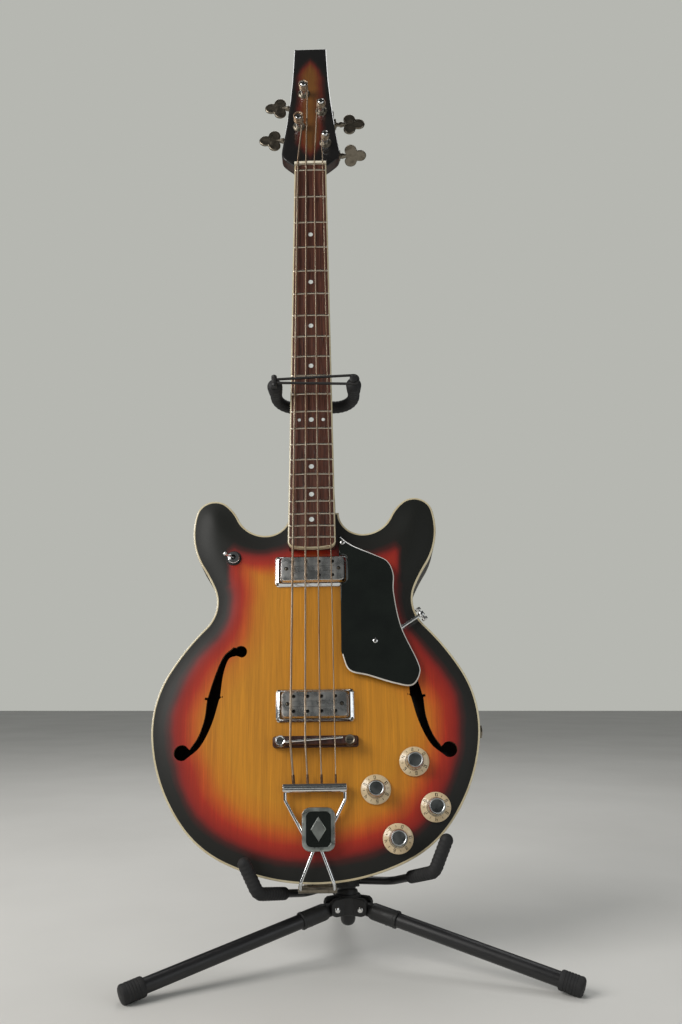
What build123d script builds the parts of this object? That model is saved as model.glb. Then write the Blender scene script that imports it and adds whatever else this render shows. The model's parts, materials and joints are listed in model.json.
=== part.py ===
from build123d import *
import math
import os

# Short-scale bass guitar standing on a folding tripod stand. Millimetres, +Z up, the guitar faces -Y.
# The origin is on the floor, under the middle of the whole object.

# ---- driving dimensions: stand --------------------------------------------------------------
HUB_X = -5.4
HUB_Y = -57.3
STAND_YAW = 2.5
PIVOT_R = 20.0
PIVOT_Z = 57.0
FOOT_R = 256.0
LEG_TUBE_R = 8.0
LEG_WALL = 1.2
SLEEVE_R = 9.5
CAP_R = 10.5
CAP_FLAT = 0.6
LEG_AZIMUTHS = {"rear": 90.0, "left": 210.0, "right": 330.0}
PIN_R = 2.0
RUNNING = 0.05
COLUMN_BACK = 14.3
COLUMN_SIDE = 3.7
COLUMN_R = 10.0
COLUMN_WALL = 1.2
INNER_TUBE_R = 8.0
COLLAR_TOP = 18.0
LOWER_TOP = 330.0
COLUMN_TOP = 640.0

# ---- driving dimensions: guitar ---------------------------------------------------------------
# Guitar frame: x across the strings, y up the neck, z out of the face, origin on top of the
# fretboard under the zero fret.
ZERO_FRET = (-49.0, 165.1, 995.2)
GUITAR_BACK = 14.3
GUITAR_YAW = -1.0
GUITAR_ROLL = 0.95
SCALE = 775.0
FRET_COUNT = 20
BODY_X = 2.4
TOP_Z = -14.0
TOP_T = 4.0
BODY_DEPTH = 42.0
BACK_T = 4.0
RIM_T = 5.0
BINDING_W = 2.2
BINDING_H = 5.0
BOARD_T = 6.0
BOARD_NUT_W = 42.4
BOARD_END_W = 56.6
BOARD_TOP_Y = 8.5
BOARD_END_Y = -544.0
BOARD_BINDING = 1.6
HEAD_FACE_Z = -7.0
HEAD_T = 15.0
NUT_T = 5.0
BRIDGE_Y = -773.0
TAIL_BAR_Y = -825.0
STRING_RADII = (1.3, 1.05, 0.85, 0.65)
NUT_STRING_STEP = 11.1
BRIDGE_STRING_STEP = 16.36
POSTS = ((-15.7, 80.9), (-9.0, 137.5), (15.0, 106.7), (20.2, 52.2))
KEY_REACH = (-55.0, -47.5, 57.5, 58.5)
KNOBS = ((109.7, -796.5), (66.6, -826.8), (131.5, -846.9), (89.5, -880.3))
NECK_PICKUP = (0.6, -569.0)
BRIDGE_PICKUP = (2.4, -731.0)
JACK_Y = -760.0
JACK_Z = -35.0

BACK_Z = TOP_Z - BODY_DEPTH
HUB = Plane(origin=(HUB_X, HUB_Y, PIVOT_Z))
COLUMN = Plane(Location((HUB_X, HUB_Y, PIVOT_Z), (-COLUMN_BACK, -COLUMN_SIDE, 0)))
GUITAR = Plane(
    Location((HUB_X + ZERO_FRET[0], HUB_Y + ZERO_FRET[1], ZERO_FRET[2]), (0, 0, GUITAR_YAW))
    * Location((0, 0, 0), (90 - GUITAR_BACK, 0, 0))
    * Location((0, 0, 0), (0, 0, GUITAR_ROLL))
)
BODY = Plane(GUITAR.from_local_coords(Vector(BODY_X, 0, 0)), GUITAR.x_dir, GUITAR.z_dir)
UP = (Align.CENTER, Align.CENTER, Align.MIN)
DOWN = (Align.CENTER, Align.CENTER, Align.MAX)


def save(builder, name):
    """Label one finished piece and write it as its own STEP file."""
    builder.part.label = name
    export_step(builder.part, f"parts/{name}.step")


def save_pair(first, second, name):
    """Write two solids that are fastened together as one node."""
    pair = Compound(children=[first.part, second.part])
    pair.label = name
    export_step(pair, f"parts/{name}.step")


def rim_regions():
    """Rectangles of the body frame that cut the rim into bent strips, as (low x, high x, low y, high y)."""
    reach = 200.0
    levels = (-940.0, -830.0, JACK_Y - 30.0, JACK_Y + 30.0, -640.0, -545.0)
    regions = []
    for low, high in zip(levels, levels[1:]):
        regions.append((-reach, 0.0, low, high))
        regions.append((0.0, reach, low, high))
    joins = (-reach, -95.0, 0.0, 95.0, reach)
    for left, right in zip(joins, joins[1:]):
        regions.append((left, right, levels[-1], -470.0))
    return regions


def save_segments(builder, regions, name):
    """Write one bent rim as strips that meet end to end."""
    strips = []
    for left, right, low, high in regions:
        with BuildPart() as strip:
            with Locations(BODY.location * Location(((left + right) / 2, (low + high) / 2, TOP_Z))):
                Box(right - left, high - low, BODY_DEPTH, align=DOWN)
            add(builder.part, mode=Mode.INTERSECT)
        strips.extend(strip.part.solids())
    rim = Compound(children=strips)
    rim.label = name
    export_step(rim, f"parts/{name}.step")


def board_width(y):
    """Fretboard width at a height y along the neck."""
    share = (BOARD_TOP_Y - y) / (BOARD_TOP_Y - BOARD_END_Y)
    return BOARD_NUT_W + (BOARD_END_W - BOARD_NUT_W) * share


def fret_y(number):
    """Height of a fret along the neck, by the equal-tempered rule."""
    return -SCALE * (1 - 2 ** (-number / 12))


def string_x(string, y):
    """Sideways place of a string between the zero fret and the bridge."""
    at_nut = (string - 1.5) * NUT_STRING_STEP
    at_bridge = 0.5 + (string - 1.5) * BRIDGE_STRING_STEP
    return at_nut + (at_bridge - at_nut) * (-y / SCALE)


# ---- shared outlines ---------------------------------------------------------------------------
def body_outline(inset=0.0):
    """Double-cutaway body outline: one half as a chain of tangent arcs, mirrored."""
    knots = [(101.2, -903.8), (147.8, -864.9), (184.9, -765.9), (167.6, -689.3), (127.3, -636.0)]
    knots += [(118.5, -587.9), (132.2, -561.5), (142.2, -491.3), (105.9, -479.9), (91.3, -499.0)]
    knots += [(59.4, -520.6), (29.5, -492.5)]
    with BuildSketch() as outline:
        with BuildLine():
            start = (0.0, -927.2)
            heading = (1.0, 0.0)
            for knot in knots:
                arc = TangentArc(start, knot, tangent=heading)
                start = knot
                heading = arc % 1
            Line(start, (0, start[1]))
            mirror(about=Plane.YZ)
        make_face()
        if inset:
            offset(amount=-inset)
    return outline.sketch


def f_hole():
    """Left sound hole: a bellied stem between two round eyes, with a nick on each side."""
    with BuildSketch() as hole:
        with BuildLine():
            left_points = [(-84.0, -659.2), (-105.2, -671.9), (-114.5, -695.0), (-121.8, -720.0)]
            left_points += [(-125.0, -745.0), (-131.5, -765.0), (-141.5, -779.0)]
            outer = Spline(left_points, tangents=((-1, -0.1), (-1, -1.1)))
            right_points = [(-145.0, -791.0), (-128.7, -776.1), (-116.5, -751.0), (-108.2, -722.0)]
            right_points += [(-104.8, -693.0), (-99.0, -675.0), (-90.5, -668.5)]
            inner = Spline(right_points, tangents=((1, 0.45), (1, 0.3)))
            Line(outer @ 1, inner @ 0)
            Line(inner @ 1, outer @ 0)
        make_face()
        with Locations((-85.1, -666.2)):
            Circle(7.2)
        with Locations((-149.2, -783.0)):
            Circle(9.0)
        with Locations((-122.5, -721.0), (-107.5, -718.0)):
            Rectangle(5.0, 3.0)
    return hole.sketch


def guard_outline():
    """Pickguard: straight beside the strings, waved on its outer edge, notched at the pickup."""
    with BuildSketch() as guard:
        with BuildLine():
            wave_points = [(31.5, -526.8), (46.9, -539.3), (72.5, -551.4), (88.5, -560.5)]
            wave_points += [(95.2, -577.0), (95.0, -600.0), (102.3, -641.2), (119.3, -681.7)]
            wave = Spline(wave_points, tangents=((1, -0.45), (0.4, -1)))
            tip = Spline([wave @ 1, (121.8, -697.0), (112.5, -711.0), (92.6, -708.4)],
                         tangents=(wave % 1, (-1, 0.42)))
            foot = Spline([tip @ 1, (63.6, -698.9), (41.5, -692.0), (33.0, -670.0)],
                          tangents=(tip % 1, (0, 1)))
            Line(foot @ 1, (33.0, -588.0))
            Line((33.0, -588.0), wave @ 0)
        make_face()
        with Locations((NECK_PICKUP[0], NECK_PICKUP[1])):
            RectangleRounded(80.0, 34.0, 5.0, mode=Mode.SUBTRACT)
    return guard.sketch


def board_outline(inset=0.0):
    """Fretboard: a taper with the two corners at the body end rounded."""
    top_half = BOARD_NUT_W / 2 - inset
    end_half = BOARD_END_W / 2 - inset
    with BuildSketch() as board:
        with BuildLine():
            Polyline((-top_half, BOARD_TOP_Y), (top_half, BOARD_TOP_Y), (end_half, BOARD_END_Y + inset),
                     (-end_half, BOARD_END_Y + inset), close=True)
        make_face()
        ends = board.vertices().group_by(Axis.Y)[0]
        fillet(ends, radius=7.0 - inset)
    return board.sketch


# ---- guitar: hollow body -----------------------------------------------------------------------
def make_body():
    centre_half = 48.0
    inner_depth = BODY_DEPTH - TOP_T - BACK_T
    with BuildPart() as body_top:
        with BuildSketch(BODY.offset(TOP_Z)):
            add(body_outline(BINDING_W))
            add(f_hole(), mode=Mode.SUBTRACT)
            add(mirror(f_hole(), about=Plane.YZ), mode=Mode.SUBTRACT)
            with Locations(*KNOBS):
                Circle(3.6, mode=Mode.SUBTRACT)
            with Locations((-95.6, -550.5)):
                Circle(6.0, mode=Mode.SUBTRACT)
        extrude(amount=-TOP_T)
    save(body_top, "body_top")

    with BuildPart() as body_back:
        with BuildSketch(BODY.offset(BACK_Z)):
            add(body_outline(BINDING_W))
        extrude(amount=BACK_T)
    save(body_back, "body_back")

    with BuildPart() as body_rim:
        with BuildSketch(BODY.offset(TOP_Z - BINDING_H)):
            add(body_outline())
            add(body_outline(RIM_T), mode=Mode.SUBTRACT)
        extrude(amount=-(BODY_DEPTH - 2 * BINDING_H))
        with BuildSketch(BODY.offset(TOP_Z - TOP_T)):
            add(body_outline(BINDING_W))
            add(body_outline(RIM_T), mode=Mode.SUBTRACT)
        extrude(amount=-inner_depth)
        with Locations(BODY.location * Location((183.0, JACK_Y, JACK_Z), (0, 90, 0))):
            Cylinder(5.0, 30.0, mode=Mode.SUBTRACT)
    save_segments(body_rim, rim_regions(), "body_rim")

    with BuildPart() as binding:
        for level in (TOP_Z, BACK_Z + BINDING_H):
            with BuildSketch(BODY.offset(level)):
                add(body_outline())
                add(body_outline(BINDING_W), mode=Mode.SUBTRACT)
            extrude(amount=-BINDING_H)
    save(binding, "body_binding")

    with BuildPart() as centre_block:
        with BuildSketch(BODY.offset(TOP_Z - TOP_T)):
            with Locations((0, -709.0)):
                Rectangle(2 * centre_half, 420.0)
            add(body_outline(RIM_T + 0.1), mode=Mode.INTERSECT)
        extrude(amount=-inner_depth)
    save(centre_block, "centre_block")


# ---- guitar: neck ---------------------------------------------------------------------------------
def neck_section(y, half_width, depth):
    """Neck cross-section: flat under the fretboard, a half ellipse at the back."""
    station = Plane(GUITAR.from_local_coords(Vector(0, y, -BOARD_T)), GUITAR.x_dir, GUITAR.y_dir)
    with BuildSketch(station) as section:
        with BuildLine():
            arch = EllipticalCenterArc((0, 0), half_width, depth, start_angle=0, arc_size=180)
            Line(arch @ 1, arch @ 0)
        make_face()
    return section.sketch


def head_outline():
    """Headstock: square top, slightly hollow sides, sloped shoulders down to the nut."""
    with BuildSketch() as head:
        with BuildLine():
            side = Spline([(22.2, 218.0), (27.5, 130.0), (39.2, 38.0)], tangents=((0.03, -1), (0.2, -1)))
            shoulder = Spline([side @ 1, (35.5, 26.0), (21.2, 13.5)], tangents=((0, -1), (-0.7, -1)))
            Line(shoulder @ 1, (0, 13.5))
            Line((0, 218.0), side @ 0)
            mirror(about=Plane.YZ)
        make_face()
    return head.sketch


def make_neck():
    heel_y = -492.5
    with BuildPart() as neck:
        for y, half, depth in ((13.5, 21.0, 17.0), (-240.0, 24.0, 20.0), (heel_y, 27.5, 23.0)):
            add(neck_section(y, half, depth))
        loft(ruled=True)
        with BuildSketch(GUITAR.offset(HEAD_FACE_Z)):
            add(head_outline())
            with Locations(*POSTS):
                Circle(6.0, mode=Mode.SUBTRACT)
        extrude(amount=-HEAD_T)
        with BuildSketch(GUITAR.offset(-BOARD_T)):
            with Locations((0, (heel_y + BOARD_END_Y) / 2 - 2.0)):
                Rectangle(55.0, heel_y - BOARD_END_Y - 4.0)
        extrude(amount=TOP_Z + BOARD_T)
        with BuildSketch(GUITAR.offset(-BOARD_T)):
            with Locations((0, heel_y + 10.0)):
                Rectangle(56.0, 20.0)
        extrude(amount=-(BODY_DEPTH - 2.0))
    save(neck, "neck")

    with BuildPart() as fretboard:
        with BuildSketch(GUITAR):
            add(board_outline(BOARD_BINDING))
            for number in (3, 5, 7, 9, 12, 15, 17, 19):
                with Locations((0, (fret_y(number) + fret_y(number - 1)) / 2)):
                    Circle(3.0, mode=Mode.SUBTRACT)
            with Locations((-14.5, (fret_y(12) + fret_y(11)) / 2), (14.5, (fret_y(12) + fret_y(11)) / 2)):
                Circle(2.0, mode=Mode.SUBTRACT)
        extrude(amount=-BOARD_T)
    save(fretboard, "fretboard")

    with BuildPart() as markers:
        with BuildSketch(GUITAR):
            for number in (3, 5, 7, 9, 12, 15, 17, 19):
                with Locations((0, (fret_y(number) + fret_y(number - 1)) / 2)):
                    Circle(3.0)
            with Locations((-14.5, (fret_y(12) + fret_y(11)) / 2), (14.5, (fret_y(12) + fret_y(11)) / 2)):
                Circle(2.0)
        extrude(amount=-1.5)
    save(markers, "fret_markers")

    with BuildPart() as board_binding:
        with BuildSketch(GUITAR):
            add(board_outline())
            add(board_outline(BOARD_BINDING), mode=Mode.SUBTRACT)
        extrude(amount=-BOARD_T)
    save(board_binding, "fretboard_binding")

    with BuildPart(GUITAR) as frets:
        for number in range(FRET_COUNT + 1):
            y = fret_y(number)
            with Locations((0, y, 0)):
                Box(board_width(y) - 0.6, 2.2, 1.0, align=UP)
    save(frets, "frets")

    with BuildPart(GUITAR) as nut:
        with Locations((0, BOARD_TOP_Y + NUT_T / 2, -BOARD_T)):
            Box(BOARD_NUT_W, NUT_T, BOARD_T + 1.2, align=UP)
    save(nut, "nut")


# ---- guitar: strings and tuners ----------------------------------------------------------------
def make_strings():
    nut_y = BOARD_TOP_Y + NUT_T / 2
    saddle_z = 3.5
    with BuildPart(GUITAR) as strings:
        for string, radius in enumerate(STRING_RADII):
            post_x, post_y = POSTS[string]
            side = 1 if string < 2 else -1
            at_post = (post_x + side * (4.2 + radius), post_y, 1.0 + radius)
            at_nut = (string_x(string, nut_y), nut_y, 1.3 + radius)
            at_saddle = (string_x(string, BRIDGE_Y), BRIDGE_Y, saddle_z + radius)
            tail_x = 2.1 + (string - 1.5) * 15.4
            at_tail = (tail_x, TAIL_BAR_Y + 5.2, -6.0)
            with BuildLine(GUITAR) as path:
                Polyline(at_post, at_nut, at_saddle, at_tail)
            with BuildSketch(path.line ^ 0):
                Circle(radius)
            sweep(path=path.line, transition=Transition.RIGHT)
    save(strings, "strings")


def key_leaf(string):
    """Clover-shaped tuner key: three lobes on a round stem. The last key is turned edge-on."""
    direction = -1 if string < 2 else 1
    reach = KEY_REACH[string]
    post_y = POSTS[string][1]
    stem_plane = Plane(GUITAR.from_local_coords(Vector(0, post_y, -28.0)), GUITAR.y_dir, GUITAR.x_dir)
    turned = string == 3
    leaf_normal = GUITAR.y_dir if turned else GUITAR.z_dir
    leaf_plane = Plane(GUITAR.from_local_coords(Vector(reach, post_y, -28.0)),
                       GUITAR.x_dir * direction, leaf_normal)
    housing_face = POSTS[string][0] + direction * 12.0
    with BuildPart() as key:
        with BuildSketch(stem_plane.offset(housing_face + direction * 0.3)):
            Circle(2.4)
        extrude(amount=reach - direction * 8.0 - housing_face - direction * 0.3)
        with BuildSketch(leaf_plane.offset(-1.3)):
            Circle(6.5)
            with Locations((-4.0, 8.3), (-4.0, -8.3), (9.5, 0)):
                Circle(8.5)
            with Locations((-9.0, 0)):
                Rectangle(8.0, 7.0)
        extrude(amount=2.6)
    return key


def make_tuners():
    names = ("e", "a", "d", "g")
    head_back = HEAD_FACE_Z - HEAD_T
    with BuildPart(GUITAR) as machines:
        for x, y in POSTS:
            with Locations((x, y, head_back)):
                Box(22.0, 26.0, 12.0, align=DOWN)
                Cylinder(4.0 + 0.2 + RUNNING, 10.0, align=DOWN, mode=Mode.SUBTRACT)
            with Locations((x, y, head_back)):
                Cylinder(6.0, HEAD_T, align=UP)
            with Locations((x, y, HEAD_FACE_Z)):
                Cylinder(7.5, 1.5, align=UP)
            with Locations((x, y, head_back - 1.0)):
                Cylinder(4.2 + RUNNING, HEAD_T + 6.0, align=UP, mode=Mode.SUBTRACT)
    save(machines, "tuner_machines")
    for string, name in enumerate(names):
        save(key_leaf(string), f"tuner_key_{name}")
        with BuildPart(GUITAR) as post:
            with Locations((*POSTS[string], head_back - 9.0)):
                Cylinder(4.2, HEAD_T + 9.0 + 15.0, align=UP)
            with Locations((*POSTS[string], 0.6)):
                Cylinder(5.2, 1.0, align=DOWN)
            top_edge = post.faces().sort_by(Axis(GUITAR.origin, GUITAR.z_dir))[-1].edges()
            chamfer(top_edge, length=1.0)
        save(post, f"tuner_post_{name}")


# ---- guitar: pickups, guard, bridge and tailpiece ----------------------------------------------
def make_pickups():
    centres = (NECK_PICKUP, BRIDGE_PICKUP)
    with BuildPart(GUITAR) as rings:
        for x, y in centres:
            with BuildSketch(GUITAR.offset(TOP_Z)):
                with Locations((x, y)):
                    RectangleRounded(88.6, 38.5, 4.0)
            extrude(amount=3.0, taper=18)
            with Locations((x, y, TOP_Z)):
                Box(74.6, 30.6, 3.0, align=UP, mode=Mode.SUBTRACT)
    save(rings, "pickup_rings")

    with BuildPart(GUITAR) as covers:
        for x, y in centres:
            with BuildSketch(GUITAR.offset(TOP_Z)):
                with Locations((x, y)):
                    RectangleRounded(74.0, 30.0, 5.0)
            extrude(amount=10.0)
            with Locations((x, y, TOP_Z + 10.0)):
                with GridLocations(15.6, 17.0, 4, 2):
                    Cylinder(1.9, 2.0, align=DOWN, mode=Mode.SUBTRACT)
                with GridLocations(61.0, 1.0, 2, 1):
                    Cylinder(2.1, 2.0, align=DOWN, mode=Mode.SUBTRACT)
    save(covers, "pickup_covers")

    with BuildPart(GUITAR) as screws:
        for x, y in centres:
            with Locations((x, y, TOP_Z + 10.0 - 2.0)):
                with GridLocations(61.0, 1.0, 2, 1):
                    Cylinder(1.6, 1.2, align=UP)
        for x, y in ((36.0, -536.3), (72.0, -658.1)):
            with Locations((x, y, -5.5)):
                Cylinder(2.6, 1.0, align=UP)
    save(screws, "screws")


def make_guard():
    guard_z = -5.5
    with BuildPart() as guard:
        with BuildSketch(GUITAR.offset(guard_z)):
            add(guard_outline())
        extrude(amount=-2.5)
    save(guard, "pickguard")

    rod_plane = Plane(GUITAR.location * Location((92.0, -648.4, -10.2), (0, 0, 33.9)))
    rod_length = 41.0
    with BuildPart(rod_plane) as bracket:
        with Locations((rod_length / 2, 0, 0)):
            Cylinder(1.9, rod_length, rotation=(0, 90, 0))
        with Locations((12.0, 0, 0)):
            Box(9.0, 6.0, -TOP_Z - 10.2, align=DOWN)
        with Locations((rod_length, 0, 0)):
            Cylinder(3.4, 5.0, rotation=(90, 0, 0))
            Cylinder(1.5 + RUNNING, 20.0, rotation=(90, 0, 0), mode=Mode.SUBTRACT)
    save(bracket, "guard_bracket")

    with BuildPart(rod_plane) as clamp_screw:
        with Locations((rod_length, 0, 0)):
            Cylinder(1.5, 16.0, rotation=(90, 0, 0))
        with Locations((rod_length, 6.7, 0), (rod_length, -6.7, 0)):
            Cylinder(3.5, 3.2, rotation=(90, 0, 0))
    save(clamp_screw, "guard_clamp_screw")


def make_bridge():
    wheels = ((-35.5, BRIDGE_Y), (41.5, BRIDGE_Y))
    with BuildPart(GUITAR) as base:
        with Locations((3.1, BRIDGE_Y, TOP_Z)):
            Box(95.6, 12.5, 6.0, align=UP)
        for x, y in wheels:
            with Locations((x, y, TOP_Z + 6.0)):
                Cylinder(2.0 + RUNNING, 4.5, align=DOWN, mode=Mode.SUBTRACT)
        fillet(base.edges().filter_by(lambda e: abs(e.length - 6.0) < 0.1), radius=3.0)
    save(base, "bridge_base")

    with BuildPart(GUITAR) as saddle:
        with Locations((3.1, BRIDGE_Y, TOP_Z + 9.2)):
            Box(92.0, 10.0, 6.2, align=UP)
        for x, y in wheels:
            with Locations((x, y, TOP_Z + 9.2)):
                Cylinder(2.0 + RUNNING, 4.5, align=UP, mode=Mode.SUBTRACT)
    save(saddle, "bridge_saddle")

    start = GUITAR.from_local_coords(Vector(-29.4, BRIDGE_Y - 1.9, TOP_Z + 15.4))
    finish = GUITAR.from_local_coords(Vector(32.7, BRIDGE_Y + 2.3, TOP_Z + 15.4))
    wire_plane = Plane(start, z_dir=finish - start)
    with BuildPart(wire_plane) as wire:
        Cylinder(1.3, (finish - start).length, align=UP)
        split(bisect_by=GUITAR.offset(TOP_Z + 15.4), keep=Keep.TOP)
    save(wire, "bridge_wire")

    for side, (x, y) in zip(("bass", "treble"), wheels):
        with BuildPart(GUITAR) as wheel:
            with Locations((x, y, TOP_Z + 6.2)):
                Cylinder(6.5, 2.8, align=UP)
            with Locations((x, y, TOP_Z + 2.0)):
                Cylinder(2.0, 11.2, align=UP)
        save(wheel, f"bridge_wheel_{side}")


def round_bar(start, finish, radius):
    """Straight round bar between two points of the guitar frame."""
    first = GUITAR.from_local_coords(Vector(*start))
    last = GUITAR.from_local_coords(Vector(*finish))
    with BuildPart(Plane(first, z_dir=last - first)) as bar:
        Cylinder(radius, (last - first).length, align=UP)
    return bar.part


def make_tailpiece():
    with BuildPart(GUITAR) as bar:
        with Locations((2.1, TAIL_BAR_Y, -10.0)):
            Box(70.0, 9.4, 7.5, align=UP)
        fillet(bar.edges().filter_by(lambda e: abs(e.length - 70.0) < 0.1), radius=1.5)
        with Locations((2.1, TAIL_BAR_Y + 4.7, -6.0)):
            with GridLocations(15.4, 1.0, 4, 1):
                Cylinder(1.6, 8.0, rotation=(90, 0, 0), mode=Mode.SUBTRACT)
    save(bar, "tailpiece_bar")

    wire_z = -8.0
    tube_y = -932.4
    tube_z = -19.0
    with BuildPart() as wires:
        add(round_bar((-29.5, -829.9, wire_z), (-11.0, -866.0, wire_z), 1.9))
        add(round_bar((34.5, -829.9, wire_z), (19.0, -866.0, wire_z), 1.9))
        add(round_bar((1.0, -890.0, wire_z), (-13.5, -926.0, wire_z), 1.9))
        add(round_bar((7.8, -890.0, wire_z), (22.0, -926.0, wire_z), 1.9))
        add(round_bar((-13.5, -926.0, wire_z), (-13.5, tube_y, tube_z + 2.0), 1.9))
        add(round_bar((22.0, -926.0, wire_z), (22.0, tube_y, tube_z + 2.0), 1.9))
        with Locations(GUITAR.location * Location((-13.5, -926.0, wire_z)),
                       GUITAR.location * Location((22.0, -926.0, wire_z))):
            Sphere(1.9)
        add(bar.part, mode=Mode.SUBTRACT)
    save(wires, "tailpiece_wires")

    with BuildPart() as tube_bracket:
        add(round_bar((-16.5, tube_y, tube_z), (25.0, tube_y, tube_z), 4.2))
        with Locations(GUITAR.location * Location((4.2, -928.1, tube_z - 2.0))):
            Box(30.0, 1.4, 20.0, align=DOWN)
        with Locations(GUITAR.location * Location((4.2, -930.0, tube_z - 1.0))):
            Box(30.0, 3.6, 5.0, align=DOWN)
        add(wires.part, mode=Mode.SUBTRACT)
    save(tube_bracket, "tailpiece_bracket")

    with BuildPart() as plate:
        with BuildSketch(GUITAR.offset(-6.5)):
            with Locations((6.0, -869.5)):
                RectangleRounded(36.0, 47.0, 9.0)
        extrude(amount=2.6)
        with BuildSketch(GUITAR.offset(-6.5)):
            with Locations((6.0, -869.5)):
                RectangleRounded(30.0, 41.0, 6.0)
        extrude(amount=-3.6)
        add(wires.part, mode=Mode.SUBTRACT)
    save(plate, "tailpiece_plate")


# ---- guitar: controls ----------------------------------------------------------------------------
def make_controls():
    out_of_body = Axis(BODY.origin, BODY.z_dir)
    for number, (x, y) in enumerate(KNOBS, start=1):
        with BuildPart(BODY) as skirt:
            with Locations((x, y, TOP_Z + 0.6)):
                Cylinder(16.6, 3.4, align=UP)
            chamfer(skirt.faces().sort_by(out_of_body)[-1].edges(), length=1.2)
            with Locations((x, y, TOP_Z + 0.6)):
                Cylinder(3.0, 3.4, align=UP, mode=Mode.SUBTRACT)
        with BuildPart(BODY) as cap:
            with Locations((x, y, TOP_Z + 4.0)):
                Cylinder(9.5, 13.0, align=UP)
            chamfer(cap.faces().sort_by(out_of_body)[-1].edges(), length=2.2)
            with Locations((x, y, TOP_Z + 4.0)):
                Cylinder(3.0, 16.0, align=DOWN)
        save_pair(skirt, cap, f"knob_{number}")

    with BuildPart(BODY) as pots:
        for x, y in KNOBS:
            with Locations((x, y, TOP_Z - TOP_T)):
                Cylinder(11.5, 9.5, align=DOWN)
                Cylinder(3.0 + RUNNING, 9.0, align=DOWN, mode=Mode.SUBTRACT)
    save(pots, "potentiometers")

    with BuildPart(BODY) as toggle_base:
        with Locations((-95.6, -550.5, TOP_Z)):
            Cylinder(8.2, 2.5, align=UP)
            Cylinder(6.0, 20.0, align=DOWN)
            Cylinder(4.6, 5.0, align=UP)
        with Locations((-95.6, -550.5, TOP_Z - 2.0)):
            Box(9.6, 3.4, 7.0, align=UP, mode=Mode.SUBTRACT)
    save(toggle_base, "toggle_base")

    lever_plane = Plane(BODY.location * Location((-95.6, -550.5, TOP_Z + 1.0), (0, -33, 0)))
    with BuildPart(lever_plane) as lever:
        Cylinder(1.6, 3.0, rotation=(90, 0, 0))
        Cylinder(1.25, 17.0, align=UP)
        with Locations((0, 0, 15.0)):
            Sphere(2.3)
    save(lever, "toggle_lever")

    with BuildPart(Plane(BODY.location * Location((186.0, JACK_Y, JACK_Z), (0, 90, 0)))) as jack:
        Cylinder(8.5, 3.2, align=UP)
        Cylinder(5.0, 24.0, align=DOWN)
        with Locations((0, 0, 3.2)):
            Cylinder(3.25, 26.0, align=DOWN, mode=Mode.SUBTRACT)
    save(jack, "output_jack")


# ---- stand ------------------------------------------------------------------------------------------
def leg_plane(azimuth):
    """Plane at a leg's pivot, with its normal along the leg, outwards and down to the foot."""
    angle = math.radians(azimuth + STAND_YAW)
    radial = Vector(math.cos(angle), math.sin(angle), 0)
    drop = PIVOT_Z - CAP_R + CAP_FLAT
    direction = radial * (FOOT_R - PIVOT_R) - Vector(0, 0, drop)
    origin = Vector(HUB_X, HUB_Y, PIVOT_Z) + radial * PIVOT_R
    tangent = Vector(-radial.Y, radial.X, 0)
    return Plane(origin, tangent, direction)


def make_hub():
    spokes = [HUB.location * Location((0, 0, 0), (0, 0, a + STAND_YAW)) for a in LEG_AZIMUTHS.values()]
    with BuildPart() as hub:
        with Locations(HUB.location * Location((0, 0, -8.0))):
            Cylinder(8.5, 14.5, align=DOWN)
        fillet(hub.faces().sort_by(Axis.Z)[0].edges(), radius=6.5)
        with Locations(HUB.location * Location((0, 0, -8.0))):
            Cylinder(15.0, 22.0, align=UP)
        with Locations([spoke * Location((13.5, 0, 2.0)) for spoke in spokes]):
            Box(27.0, 20.0, 20.0)
        with Locations([spoke * Location((24.0, 0, 2.0)) for spoke in spokes]):
            Box(28.0, 8.4, 24.0, mode=Mode.SUBTRACT)
        with Locations([spoke * Location((PIVOT_R, 0, 0)) for spoke in spokes]):
            Cylinder(PIN_R, 30.0, rotation=(90, 0, 0), mode=Mode.SUBTRACT)
        with Locations(COLUMN.location * Location((0, 0, 6.0))):
            Cylinder(12.0, COLLAR_TOP - 6.0, align=UP)
            Cylinder(COLUMN_R - COLUMN_WALL, COLLAR_TOP + 18.0, align=UP)
    save(hub, "hub")

    with BuildPart() as pins:
        with Locations([spoke * Location((PIVOT_R, 0, 0)) for spoke in spokes]):
            Cylinder(PIN_R, 20.0, rotation=(90, 0, 0))
        with Locations([spoke * Location((PIVOT_R, y, 0)) for spoke in spokes for y in (-10.7, 10.7)]):
            Cylinder(3.6, 1.4, rotation=(90, 0, 0))
    save(pins, "hub_rivets")


def make_legs():
    for name, azimuth in LEG_AZIMUTHS.items():
        plane = leg_plane(azimuth)
        length = FOOT_R - PIVOT_R + 6.0
        with BuildPart(plane) as leg:
            Cylinder(7.0, 8.0, rotation=(0, 90, 0))
            with Locations((0, 0, 8.0)):
                Box(8.0, 14.0, 16.0)
            with Locations((0, 0, 12.0)):
                Cylinder(SLEEVE_R, 30.0, align=UP)
            with Locations((0, 0, 42.0)):
                Cylinder(LEG_TUBE_R, length - 42.0, align=UP)
                Cylinder(LEG_TUBE_R - LEG_WALL, length - 42.0, align=UP, mode=Mode.SUBTRACT)
            Cylinder(PIN_R + RUNNING, 20.0, rotation=(0, 90, 0), mode=Mode.SUBTRACT)
        save(leg, f"leg_{name}")
        with BuildPart(plane) as cap:
            with Locations((0, 0, length - 20.0)):
                Cylinder(CAP_R, 24.0, align=UP)
            fillet(cap.faces().sort_by(Axis(plane.origin, plane.z_dir))[-1].edges(), radius=4.0)
            with Locations((0, 0, length)):
                Cylinder(LEG_TUBE_R, 20.0, align=DOWN, mode=Mode.SUBTRACT)
            split(bisect_by=Plane.XY, keep=Keep.TOP)
        save(cap, f"foot_cap_{name}")


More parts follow.
